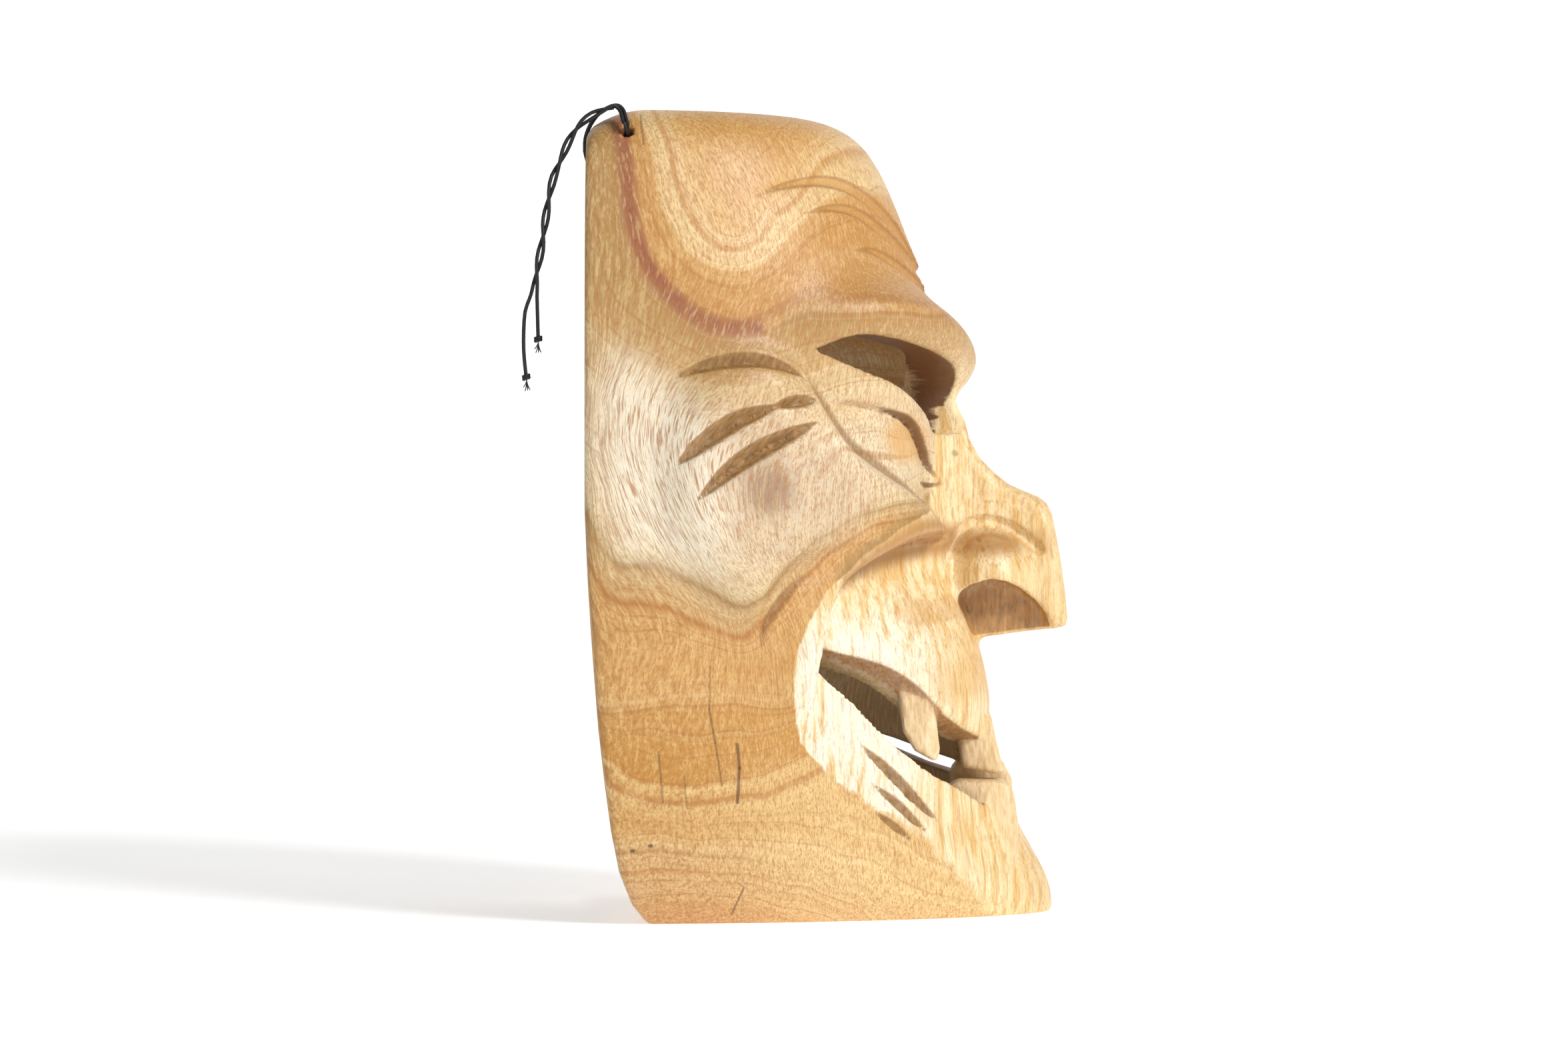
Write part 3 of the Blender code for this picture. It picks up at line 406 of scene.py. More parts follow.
# The nose seen from the side: forward of the wall plane, height
NOSE_PROFILE = (
    (0.0900, 0.1580), (0.1085, 0.1575), (0.1128, 0.1500), (0.1143, 0.1442), (0.1176, 0.1382),
    (0.1224, 0.1334), (0.1262, 0.1303), (0.1310, 0.1282), (0.1352, 0.1265), (0.1378, 0.1245),
    (0.1394, 0.1212), (0.1406, 0.1152), (0.1418, 0.1080), (0.1431, 0.0986), (0.1440, 0.0892),
    (0.1432, 0.0870), (0.1393, 0.0862), (0.1297, 0.0852), (0.1176, 0.0836), (0.0900, 0.0800),
)
NOSTRIL_PROFILE = (
    (0.1085, 0.0960), (0.1140, 0.0998), (0.1200, 0.1017), (0.1250, 0.1008), (0.1297, 0.0984),
    (0.1340, 0.0950), (0.1369, 0.0914), (0.1386, 0.0870), (0.1390, 0.0780), (0.1000, 0.0780),
    (0.1000, 0.0900),
)
NOSE_WING = ((0.1205, 0.1010), (0.0150, 0.0172))
NOSE_GROOVES = (
    (
        ((0.1060, 0.1075), (0.1115, 0.1165), (0.1185, 0.1190), (0.1265, 0.1170), (0.1350, 0.1105)),
        0.0022, 0.0021,
    ),
    (((0.1180, 0.1262), (0.1240, 0.1262), (0.1310, 0.1232)), 0.0016, 0.0006),
)
BRIDGE_HALF = 0.0078
TIP_HALF = 0.0125
WING_REACH = 0.0215
SEPTUM_HALF = 0.0052

# The cord's bore slopes from the side of the crown down into the hollow. Its mouth is given as
# (away from the middle, forward, height)
BORE_MOUTH = (0.0660, 0.0119, 0.2325)
BORE_SLOPE = math.radians(37)
BORE_REACH = 0.019

# The hitch leaves the bore, goes over the crown, down behind the rim and back through the hollow
HITCH_IN_BORE = (-0.0180, -0.0110, -0.0040, 0.0030)
HITCH_OUTSIDE = (
    (0.0682, 0.0114, 0.2352), (0.0660, 0.0104, 0.2385), (0.0625, 0.0086, 0.2402),
    (0.0585, 0.0058, 0.2400), (0.0550, 0.0022, 0.2375), (0.0525, -0.0004, 0.2330),
    (0.0512, -0.0008, 0.2280), (0.0502, 0.0010, 0.2225), (0.0492, 0.0060, 0.2190),
    (0.0490, 0.0105, 0.2185),
)
# The two tails from the knot on the crown: away from the middle, forward, height
TAILS_TOGETHER = (
    (0.0640, 0.0078, 0.2398), (0.0638, 0.0050, 0.2388), (0.0636, 0.0018, 0.2374),
    (0.0634, -0.0010, 0.2354), (0.0630, -0.0032, 0.2330), (0.0628, -0.0050, 0.2301),
    (0.0627, -0.0064, 0.2270), (0.0626, -0.0080, 0.2232), (0.0625, -0.0095, 0.2196),
    (0.0624, -0.0107, 0.2148), (0.0622, -0.0116, 0.2096), (0.0621, -0.0122, 0.2056),
    (0.0621, -0.0129, 0.2005), (0.0620, -0.0138, 0.1957), (0.0620, -0.0146, 0.1911),
    (0.0620, -0.0152, 0.1862),
)
LONG_END = (
    (0.0621, -0.0160, 0.1836), (0.0622, -0.0172, 0.1800), (0.0622, -0.0176, 0.1745),
    (0.0622, -0.0176, 0.1690), (0.0621, -0.0172, 0.1640), (0.0620, -0.0168, 0.1605),
)
SHORT_END = (
    (0.0619, -0.0152, 0.1828), (0.0618, -0.0151, 0.1790), (0.0617, -0.0150, 0.1750),
    (0.0616, -0.0149, 0.1715),
)
TWIST_LENGTH = 0.022

# Teeth: outline in the side view (forward, height), middle and half width across the face, slant in plan
TEETH = (
    ((
        (0.0915, 0.0720), (0.0990, 0.0720), (0.1030, 0.0600), (0.1042, 0.0505), (0.1029, 0.0470),
        (0.0965, 0.0506), (0.0930, 0.0562),
    ), -0.0335, 0.0045, 0.35),
    ((
        (0.1112, 0.0600), (0.1205, 0.0600), (0.1220, 0.0525), (0.1245, 0.0428), (0.1225, 0.0421),
        (0.1118, 0.0443), (0.1107, 0.0520),
    ), -0.0080, 0.0060, 0.10),
    ((
        (0.1060, 0.0180), (0.1070, 0.0385), (0.1105, 0.0409), (0.1243, 0.0406), (0.1270, 0.0375),
        (0.1284, 0.0280), (0.1284, 0.0180),
    ), -0.0125, 0.0080, 0.10),
    ((
        (0.1085, 0.0180), (0.1095, 0.0435), (0.1140, 0.0462), (0.1250, 0.0450), (0.1276, 0.0400),
        (0.1284, 0.0280), (0.1284, 0.0180),
    ), 0.0115, 0.0075, -0.10),
    ((
        (0.0930, 0.0720), (0.1010, 0.0720), (0.1040, 0.0600), (0.1046, 0.0520), (0.1028, 0.0490),
        (0.0972, 0.0520), (0.0945, 0.0580),
    ), 0.0330, 0.0045, -0.35),
)

# The slit between the far lips in the side view, and how much it falls towards the far side
FAR_GAP = (
    (0.0870, 0.0528), (0.0920, 0.0512), (0.1030, 0.0470), (0.1120, 0.0438), (0.1150, 0.0418),
    (0.1120, 0.0410), (0.1030, 0.0438), (0.0920, 0.0486), (0.0860, 0.0508),
)
FAR_GAP_FALL = 0.057


def wide(value):
    return value * HALF_WIDTH / DRAWN_HALF_WIDTH


def deep(value):
    return value * REACH / DRAWN_REACH


def high(value):
    return value * HEIGHT / DRAWN_HEIGHT


def off_line(marks, forward, height):
    """Distance of places in the side view from the straight pieces between marks."""
    away = np.full(forward.shape, np.inf)
    for (f0, h0), (f1, h1) in zip(marks, marks[1:]):
        df, dh = f1 - f0, h1 - h0
        t = np.clip(((forward - f0) * df + (height - h0) * dh) / (df * df + dh * dh), 0, 1)
        away = np.minimum(away, np.hypot(forward - f0 - t * df, height - h0 - t * dh))
    return away


def depth_inside(marks, forward, height):
    """Distance inside a closed outline in the side view, negative outside it."""
    closed = [*marks, marks[0]]
    away = off_line(closed, forward, height)
    odd = np.zeros(forward.shape, bool)
    for (f0, h0), (f1, h1) in zip(closed, closed[1:]):
        if h0 != h1:
            odd ^= ((h0 > height) != (h1 > height)) & (forward < f0 + (f1 - f0) * (height - h0) / (h1 - h0))
    return np.where(odd, away, -away)


def outline_field(marks, forward, height):
    """Signed distance to a closed outline in drawn sizes, negative inside."""
    return -depth_inside([(deep(f), high(h)) for f, h in marks], forward, height)


def nose_body(aside, forward, height):
    """The nose before its nostrils are cut: a wedge on the side profile, with a wing on each side."""
    drop = np.clip((high(0.150) - height) / high(0.055), 0, 1)
    half = wide(BRIDGE_HALF) + (wide(TIP_HALF) - wide(BRIDGE_HALF)) * ease(drop)
    half = half + 0.62 * np.clip(deep(0.1120) - forward, 0, None)
    wedge = smooth_max(outline_field(NOSE_PROFILE, forward, height), aside - half, 0.005)
    (wing_f, wing_h), (wing_long, wing_tall) = NOSE_WING
    round_wing = np.sqrt(
        (aside / wide(WING_REACH)) ** 2
        + ((forward - deep(wing_f)) / deep(wing_long)) ** 2
        + ((height - high(wing_h)) / high(wing_tall)) ** 2
    )
    wing = (round_wing - 1) * wide(WING_REACH) * 0.75
    wing = smooth_max(wing, high(0.0845) - height, 0.002)
    body = smooth_min(wedge, wing, 0.0012)
    for marks, half_width, cut in NOSE_GROOVES:
        run = [(deep(f), high(h)) for f, h in spline(marks)]
        away = off_line(run, forward, height)
        body = body + cut * np.clip(1 - (away / half_width) ** 2, 0, 1) * (aside > 0.004)
    return body


def nostril_field(aside, forward, height):
    outline = outline_field(NOSTRIL_PROFILE, forward, height)
    return smooth_max(outline, wide(SEPTUM_HALF) - aside, 0.003)


def nose_field(aside, forward, height):
    return smooth_max(nose_body(aside, forward, height), -nostril_field(aside, forward, height), 0.0012)


def teeth_field(x, forward, height):
    """The teeth: blocks left standing in the mouth, each an outline in the side view with its own width."""
    found = np.full(x.shape, 1.0, x.dtype)
    for outline, middle, half_width, slant in TEETH:
        low, top = min(h for _, h in outline), max(h for _, h in outline)
        near = (height > high(low) - 0.006) & (height < high(top) + 0.006)
        near = near & (forward > deep(outline[0][0]) - 0.008)
        if not near.any():
            continue
        f, h = forward[near], height[near]
        across = np.abs(x[near] - wide(middle) - slant * (f - deep(outline[0][0] + 0.006))) - half_width
        block = smooth_max(outline_field(outline, f, h), across, 0.0018)
        found[near] = np.minimum(found[near], block)
    return found


def blurred(values, reach):
    """Values smoothed along both directions of the face, by repeated short averages."""
    for axis in (0, 1):
        for _ in range(reach):
            edge = np.concatenate(
                [values.take([0], axis), values, values.take([-1], axis)], axis=axis
            )
            size = values.shape[axis]
            values = (
                edge.take(range(size), axis) + 2 * values + edge.take(range(2, size + 2), axis)
            ) / 4
    return values


class Mask:
    """The whole mask as one field, negative in the wood."""

    def __init__(self, columns, rows):
        relief = carved_relief(columns, rows)
        self.top = relief.heights[-1]
        self.plain = relief.plain.astype(np.float32)
        self.rise = relief.rise.astype(np.float32)
        self.soft_rise = blurred(blurred(relief.rise, rows // 8), rows // 8).astype(np.float32)
        self.cut_tones_and_shade = {name: table.astype(np.float32) for name, table in relief.cut_tones_and_shade.items()}
        self.eye = relief.inside([*EYE_OPENING_TOP, *EYE_OPENING_FOOT[-2:0:-1]]).astype(np.float32)
        self.mouths = [
            relief.inside([*upper, (97, 0.0525), (97, 0.0275), *lower[:0:-1]]).astype(np.float32)
            for upper, lower in ((UPPER_LIP, LOWER_LIP), (FAR_UPPER_LIP, FAR_LOWER_LIP))
        ]

    def read(self, table, bearing, height):
        """A table of the face, read between its marks."""
        columns, rows = table.shape
        a = np.clip(bearing / (math.pi / 2) * (columns - 1), 0, columns - 1.001)
        b = np.clip(height / self.top * (rows - 1), 0, rows - 1.001)
        i, j = a.astype(np.int32), b.astype(np.int32)
        a, b = a - i, b - j
        near = table[i, j] * (1 - b) + table[i, j + 1] * b
        far = table[i + 1, j] * (1 - b) + table[i + 1, j + 1] * b
        return near * (1 - a) + far * a

    def drawn_height(self, x, bearing, height):
        """The height at which the carving was drawn that a place has: the far eye and brow sag."""
        sag = high(FAR_SAG) * ease(x / wide(0.030)) * ease((bearing - 0.72) / 0.25)
        sag = sag * ease((height - high(0.104)) / high(0.024))
        sag = sag * ease((high(0.224) - height) / high(0.038))
        return height + sag

    def openings(self, x, bearing, height, depth):
        """Distance inside the cuts of the eyes and of the mouth, negative outside them."""
        slant = 0.5 * ease((0.006 - x) / 0.012) * (1 - 0.75 * ease((bearing - 1.17) / 0.2))
        shifted = height + slant * np.clip(depth, -0.004, 0.02)
        near_mouth, far_mouth = (self.read(table, bearing, shifted) for table in self.mouths)
        eye = self.read(self.eye, bearing, self.drawn_height(x, bearing, height))
        gap = np.full(x.shape, -0.01)
        near = (height > high(0.034)) & (height < high(0.060)) & (x > 0)
        if near.any():
            ahead = ((self.read(self.plain, bearing, height) - depth) * np.sin(bearing))[near]
            fall = FAR_GAP_FALL * (x[near] - wide(0.030))
            gap[near] = -outline_field(FAR_GAP, ahead, height[near] + fall)
            gap[near] = np.minimum(gap[near], x[near] - 0.003)
        return eye, np.where(x > 0, np.maximum(far_mouth, gap), near_mouth)

    def field(self, x, forward, height):
        aside = np.abs(x)
        radius = np.hypot(aside, forward)
        bearing = np.arctan2(np.clip(forward, 0, None), aside)
        carved = self.drawn_height(x, bearing, height)
        plain = self.read(self.plain, bearing, height)
        outer = plain + self.read(self.rise, bearing, carved)
        root = ease((bearing - 1.20) / 0.22) * ease((height - high(0.128)) / high(0.014))
        inner = plain + self.read(self.soft_rise, bearing, carved) - WALL - NOSE_ROOT * root

        lean = np.array(BACK_EDGE)
        back = np.interp(height, high(lean[:, 0]), deep(lean[:, 1]))
        wood = smooth_min(radius - outer, nose_field(aside, forward, height), NOSE_FILLET)
        wood = smooth_max(wood, height - HEIGHT, CROWN_FILLET)
        wood = smooth_max(wood, (height - HEIGHT + CROWN_ROUND - forward) * 0.7, CORNER_FILLET)
        wood = smooth_max(wood, back - FLAT_TRIM - forward, RIM_FILLET)
        wood = smooth_max(wood, -FLAT_TRIM - height, FOOT_FILLET)

        hollow = smooth_max(radius - inner, height - (HEIGHT - CROWN_WALL), HOLLOW_FILLET)
        hollow = smooth_max(hollow, CHIN_WALL - height, HOLLOW_FILLET)
        wood = smooth_max(wood, -hollow, INNER_EDGE_FILLET)

        depth = plain - radius
        cut = np.minimum(np.maximum(*self.openings(x, bearing, height, depth)), CUT_REACH - depth)
        wood = smooth_max(wood, cut, OPENING_FILLET)
        return smooth_min(wood, teeth_field(x, forward, height), TOOTH_FILLET)


def untangled(field):
    """The field filled here and there, until no cell is crossed by two separate sheets."""
    flat = field.reshape(-1)
    strides = np.array([field.shape[1] * field.shape[2], field.shape[2], 1])
    corners = np.array([(i, j, k) for i in (0, 1) for j in (0, 1) for k in (0, 1)])

    def views(solid, steps):
        spans = np.array(field.shape) - steps.max(axis=0)
        return [solid[tuple(slice(a, a + n) for a, n in zip(step, spans))] for step in steps]

    while True:
        solid = field < 0
        tangles = []
        for flat_axis in range(3):
            steps = corners[corners[:, flat_axis] == 0]
            a, b, c, d = views(solid, steps)
            twisted = (a == d) & (b == c) & (a != b)
            tangles.append((np.argwhere(twisted) @ strides)[:, None] + steps @ strides)
        parts = views(solid, corners)
        count = sum(part.astype(np.int8) for part in parts)
        for part, opposite in zip(parts[:4], parts[:3:-1]):
            lone = (part == opposite) & (count == np.where(part, 2, 6))
            tangles.append((np.argwhere(lone) @ strides)[:, None] + corners @ strides)
        if not any(len(found) for found in tangles):
            return field
        for found in tangles:
            values = flat[found]
            values[values < 0] = np.inf
            weakest = values.argmin(axis=1)
            flat[found[np.arange(len(found)), weakest]] = -1e-6


def skin_of(field_at, low, high_corner, cell):
    """Points and quads of the surface where a field is zero: one point in each cell that it crosses."""
    counts = [int(math.ceil((b - a) / cell)) + 1 for a, b in zip(low, high_corner)]
    axes = [a + cell * np.arange(n) for a, n in zip(low, counts)]
    slabs = [
        field_at(*np.meshgrid(part, axes[1], axes[2], indexing="ij"))
        for part in np.array_split(axes[0], max(1, counts[0] // 8))
    ]
    field = untangled(np.concatenate(slabs).astype(np.float32))
    solid = field < 0
    sums = np.zeros((field.size, 3), np.float32)
    hits = np.zeros(field.size, np.int32)
    strides = np.array([counts[1] * counts[2], counts[2], 1])
    quads = []
    for axis in range(3):
        near = tuple(slice(0, -1) if k == axis else slice(1, -1) for k in range(3))
        far = tuple(slice(1, None) if k == axis else slice(1, -1) for k in range(3))
        at = np.argwhere(solid[near] != solid[far])
        at += np.array([0 if k == axis else 1 for k in range(3)])
        here = at @ strides
        flat = field.reshape(-1)
        a, b = flat[here], flat[here + strides[axis]]
        crossing = at.astype(np.float32)
        crossing[:, axis] += a / (a - b)
        u, v = (axis + 1) % 3, (axis + 2) % 3
        corners = [here, here - strides[u], here - strides[u] - strides[v], here - strides[v]]
        for corner in corners:
            np.add.at(sums, corner, crossing)
            np.add.at(hits, corner, 1)
        quad = np.stack(corners, axis=1)
        quad[a > 0] = quad[a > 0][:, ::-1]
        quads.append(quad)
    quads = np.concatenate(quads)
    used = np.unique(quads)
    points = sums[used] / hits[used][:, None] * cell + np.array(low, np.float32)
    return points, np.searchsorted(used, quads)


def bore_point(along):
    """A point on the axis of the cord's bore: away from the middle, forward, height."""
    away, forward, height = BORE_MOUTH
    return (
        wide(away) + along * math.cos(BORE_SLOPE),
        deep(forward),
        high(height) + along * math.sin(BORE_SLOPE),
    )


def bored(mask):
    """The mask's field with the cord's bore drilled on both sides of the crown."""
    mouth = np.array(bore_point(0))
    axis = np.array([math.cos(BORE_SLOPE), 0.0, math.sin(BORE_SLOPE)])

    def field(x, forward, height):
        wood = mask.field(x, forward, height)
        across = np.abs(x) - mouth[0], forward - mouth[1], height - mouth[2]
        along = across[0] * axis[0] + across[2] * axis[2]
        off = np.sqrt(np.maximum(across[0] ** 2 + across[1] ** 2 + across[2] ** 2 - along**2, 0))
        drill = np.maximum(off - CORD_HOLE_RADIUS, np.abs(along) - BORE_REACH)
        return smooth_max(wood, -drill, 0.0006)

    return field


def to_part(place):
    """A place (away from the middle, forward, height) on the cord's side, in the part's own frame."""
    away, forward, height = place
    return (-away, REACH / 2 - forward, height)


def placed(marks):
    return np.array([to_part((wide(away), deep(ahead), high(up))) for away, ahead, up in marks])


def away_from_wood(wood, points):
    """The field at points of the part's frame, and the direction straight out of the wood there."""
    step = 2e-4
    at = (points[:, 0], REACH / 2 - points[:, 1], points[:, 2])
    here = wood.field(*at)
    slope = np.column_stack([
        wood.field(at[0] + step, at[1], at[2]) - here,
        here - wood.field(at[0], at[1] + step, at[2]),
        wood.field(at[0], at[1], at[2] + step) - here,
    ])
    return here, slope / (np.linalg.norm(slope, axis=1)[:, None] + 1e-9)


def clear_of_wood(wood, points, distance):
    """Points moved straight out of the wood until they are at least a distance from it."""
    for _ in range(12):
        here, slope = away_from_wood(wood, points)
        points = points + slope * np.clip(distance - here, 0, 0.001)[:, None]
    return points


# The grain, as the lines it makes on the near side: forward and height in millimetres
RINGS = (
    (2.0, ((45, 226), (40, 232))),
    (10.0, (
        (22.8, 234.2), (27.7, 217.9), (33.2, 205.9), (37.9, 200.8), (43.8, 199.3), (49.4, 202.6),
        (53.7, 209.7), (59.3, 214.0), (70, 228),
    )),
    (20.0, (
        (15.7, 234.1), (20.6, 214.6), (27.8, 198.7), (34.8, 192.5), (41.1, 190.7), (48.2, 191.9),
        (54.5, 196.0), (60.0, 203.5), (65.6, 208.6), (80, 216),
    )),
    (32.0, (
        (10.6, 229.0), (12.3, 214.5), (14.6, 201.8), (19.2, 191.5), (25.4, 184.5), (32.5, 178.5),
        (40.3, 175.5), (48.2, 175.2), (55.3, 178.9), (61.6, 183.7), (67.2, 184.8), (73.5, 182.7),
        (86.3, 182.1), (101, 183.4),
    )),
    (42.0, ((2, 205), (4, 185), (24, 168), (45, 163))),
    (56.0, ((2, 160), (14, 150), (34, 148), (62, 152), (85, 158))),
    (68.0, ((4, 138), (20, 128), (34, 120), (75, 138), (95, 138))),
    (80.0, (
        (1.2, 121.6), (4.3, 113.7), (8.2, 107.8), (15.3, 106.5), (23.1, 106.2), (29.4, 102.7),
        (38.8, 97.2), (46.6, 94.0), (52.2, 97.2), (56.1, 103.0), (62.4, 109.8), (71.9, 116.9),
        (84.8, 121.6), (98.1, 124.9),
    )),
    (90.0, (
        (1.5, 107.4), (5.1, 100.4), (9.8, 95.2), (16.8, 94.6), (23.1, 93.6), (29.4, 89.8), (40.3, 85.7),
        (46.6, 85.0), (52.1, 90.8), (60.8, 100.2), (72.0, 110.8), (84.8, 117.6), (99.6, 120.9),
    )),
    (100.0, ((2.6, 75.9), (18.3, 75.7), (40.3, 75.0), (59.2, 75.7), (80, 90))),
    (108.0, ((3.7, 61.7), (18.3, 60.9), (40.3, 61.2), (59.2, 62.9), (78, 70))),
    (120.0, (
        (4.7, 50.1), (9.4, 44.4), (16.5, 41.5), (29.1, 40.3), (45.0, 41.9), (56.1, 44.9), (64.8, 49.1),
        (80, 56),
    )),
    (123.5, (
        (5.5, 47.3), (11.0, 40.1), (18.1, 37.6), (29.1, 36.6), (44.9, 38.5), (59.3, 42.3), (70.4, 46.9),
    )),
    (129.0, ((7.7, 30.3), (29.1, 30.2), (48.1, 30.8), (65.7, 29.7), (80.2, 24.4), (105, 14))),
    (134.0, ((8.4, 23.8), (29.0, 24.1), (48.1, 23.5), (65.7, 21.5), (81.8, 15.4), (100, 6))),
    (137.5, ((9.1, 21.0), (24.2, 22.0), (43.3, 20.5), (56.1, 17.7), (72.1, 11.1), (86.8, 3.6))),
    (143.0, ((10.6, 14.5), (29.0, 16.1), (48.1, 14.2), (65.7, 9.2), (78.7, 3.0))),
    (149.0, ((13.7, 6.4), (28.9, 8.1), (44.8, 6.2), (59.3, 2.9))),
)

# The knot: forward, height, size, and by how much the rings rise over it
KNOT = (53.0, 128.0, 8.0, 9.0)

# The darker patch on the muzzle and the ball of the near eye: forward, height
MUZZLE_PATCH = (101.0, 92.0)
EYEBALL = (94.5, 143.0)

# The run of the fibres over the near side
FIBRES = (
    (0.0, (
        (-0.1, 230.8), (1.1, 203.3), (1.2, 176.5), (0.7, 154.5), (1.2, 132.6), (2.8, 116.9),
        (6.7, 101.2), (11.3, 91.7), (12.3, 69.7), (12.6, 45.7), (13, 10),
    )),
    (9.0, (
        (8.6, 234.0), (11.3, 203.4), (9.0, 179.7), (3.5, 154.5), (4.0, 138.8), (9.0, 123.1),
        (16.9, 107.4), (24.7, 94.9), (26.2, 69.6), (25.9, 37.6), (27.3, 8.1),
    )),
    (18.0, (
        (15.7, 234.1), (19.9, 211.4), (23.1, 190.8), (16.9, 167.1), (11.4, 151.4), (11.4, 138.8),
        (16.9, 123.1), (25.5, 107.4), (35.6, 93.3), (37.9, 72.7), (38.6, 45.5), (40.1, 13.0),
    )),
    (31.0, (
        (29.1, 234.3), (35.6, 211.6), (39.5, 192.5), (32.5, 173.5), (22.3, 154.5), (20.8, 140.4),
        (26.3, 123.1), (34.1, 109.0), (45.1, 91.7), (48.2, 72.6), (49.7, 45.4), (51.3, 12.8),
    )),
    (44.0, (
        (43.3, 234.8), (51.3, 212.0), (52.9, 192.8), (46.6, 173.6), (40.4, 154.5), (32.6, 140.4),
        (35.7, 123.1), (42.0, 107.5), (51.3, 91.6), (56.1, 69.3), (59.3, 37.1), (62.5, 7.6),
    )),
    (66.0, ((62, 234), (70, 205), (70, 170), (64, 140), (60, 120), (66, 95), (72, 60), (78, 8))),
    (98.0, ((96, 200), (100, 160), (98, 120), (98, 90), (100, 50), (106, 8))),
    (128.0, ((128, 140), (128, 100), (128, 60), (130, 10))),
)
FRONT = (
    (112, 190), (104, 166), (103, 140), (101, 122), (92, 117), (80, 108), (70, 98), (64, 88), (61, 78),
    (60.5, 66), (62.5, 54), (70, 45), (84, 35), (100, 24), (116, 8), (124, -5), (160, -5), (160, 190),
)
RED_STREAK = (
    (9, 236), (11.5, 222), (13.5, 208), (17.5, 195), (24, 185.5), (32, 178), (41, 174.5), (50, 175),
)
# The pale patch on the side: a painted sheen, the varnish's broad reflection laid into the colour
PALE_SHEEN = (
    (3, 158), (10, 168), (22, 160), (34, 150), (46, 141),
    (44, 118), (38, 104), (26, 107), (12, 112), (5, 126),
)
LILAC = ((40, 152), (58, 150), (72, 140), (86, 128), (80, 118), (66, 112), (52, 104), (42, 112), (38, 130))


def thin_plate(groups):
    """A smooth field over the side of the face that has a given value along each drawn line."""
    places, values = [], []
    for value, marks in groups:
        places.extend(marks)
        values.extend([value] * len(marks))
    places, values = np.array(places, float), np.array(values)

    def kernel(gap):
        return gap * gap * np.log(gap + 1e-6)

    count = len(places)
    plane = np.column_stack([np.ones(count), places])
    between = np.linalg.norm(places[:, None] - places[None], axis=-1)
    system = np.zeros((count + 3, count + 3))
    system[:count, :count] = kernel(between) + 2.0 * np.eye(count)
    system[:count, count:] = plane
    system[count:, :count] = plane.T
    weights = np.linalg.solve(system, np.concatenate([values, np.zeros(3)]))

    def field(forward, height):
        out = weights[-3] + weights[-2] * forward + weights[-1] * height
        for (a, b), weight in zip(places, weights):
            out = out + weight * kernel(np.hypot(forward - a, height - b))
        return out

    return field


def soft_inside(marks, forward, height, edge):
    """1 inside an outline on the side of the face and 0 outside it, in millimetres."""
    return ease(0.5 + depth_inside(marks, forward, height) / edge)


def near_line(marks, forward, height, width):
    """1 on a drawn line, falling off softly over a width, in millimetres."""
    return np.exp(-((off_line(spline(marks), forward, height) / width) ** 2))


def grain_of(points, wood):
    """The grain at places on the wood: rings, fibres, tints with a painted sheen, and zones, each as one
    vector a place.
    """
    x = points[:, 0] * 1000 * DRAWN_HALF_WIDTH / HALF_WIDTH
    forward = (REACH / 2 - points[:, 1]) * 1000 * DRAWN_REACH / REACH
    height = points[:, 2] * 1000 * DRAWN_HEIGHT / HEIGHT
    across = ease((x + 30) / 75)
    f = forward + across * (5 * np.sin(height / 23) + 3 * np.sin(height / 9 + 1) - 4)
    h = height + across * (9 + 6 * np.sin(forward / 17))
    f = f + 0.35 * np.sin(x / 5 + height / 19)
    h = h + 0.5 * np.sin(x / 7 + forward / 15)
    knot_f, knot_h, knot_size, knot_rise = KNOT
    rings = thin_plate(RINGS)(f, h)
    rings = rings + knot_rise * np.exp(-((f - knot_f) ** 2 + (h - knot_h) ** 2) / knot_size**2)
    threads = thin_plate(FIBRES)(f, h)
    side, ahead, up = points[:, 0], REACH / 2 - points[:, 1], points[:, 2]
    bearing = np.arctan2(np.clip(ahead, 0, None), np.abs(side))
    depth = wood.read(wood.plain, bearing, up) - np.hypot(side, ahead)
    hollow = ease((1000 * depth - 7.5) / 2) * (forward < 118) * ease((233 - height) / 2)
    drawn = wood.drawn_height(side, bearing, up)
    eye, mouth = wood.openings(side, bearing, up, depth)
    rise = wood.read(wood.rise, bearing, drawn)
    eye, mouth = (np.minimum(cut + 0.0007, 0.8 * (depth + rise) - 0.0006) for cut in (eye, mouth))
    pocket = np.minimum(
        -nose_body(np.abs(side), ahead, up) - 0.0007, 0.0012 - nostril_field(np.abs(side), ahead, up)
    )
    teeth = 0.0004 - teeth_field(side, ahead, up)
    toned_and_shaded = 1000 * np.column_stack([wood.read(wood.cut_tones_and_shade[name], bearing, drawn) for name in CUT_TONES_AND_SHADE])
    front = soft_inside(FRONT, forward, height, 4 + 16 * ease((50 - height) / 30))
    red = near_line(RED_STREAK, f, h, 3.0) * (1 - across)
    knot = np.exp(-((f - knot_f) ** 2 + (h - knot_h) ** 2) / 62) * (1 - across)
    # The painted sheen on the side, 1 inside its outline
    pale = soft_inside(PALE_SHEEN, f, h, 16)
    lilac = soft_inside(LILAC, f, h, 14) * (1 - 0.6 * across)
    return {
        "grain": np.column_stack([rings, threads, height]),
        "tint": np.column_stack([red, lilac, pale]),
        "zone": np.column_stack([front, hollow, knot]),
        "cuts": toned_and_shaded[:, :3],
        # How far into the walls of the eye and mouth cuts and the nostril pockets, where painted shade is
        # laid
        "walls": 1000 * np.clip(np.column_stack([eye, mouth, pocket]), -0.003, 0.003),
        "block": np.column_stack([np.clip(1000 * teeth, -3, 3), toned_and_shaded[:, 3:]]),
    }


def skin_object(name, points, faces, material):
    mesh = bpy.data.meshes.new(name)
    mesh.from_pydata(np.asarray(points).tolist(), [], np.asarray(faces).tolist())
    mesh.materials.append(material)
    made = bpy.data.objects.new(name, mesh)
    bpy.context.scene.collection.objects.link(made)
    return made


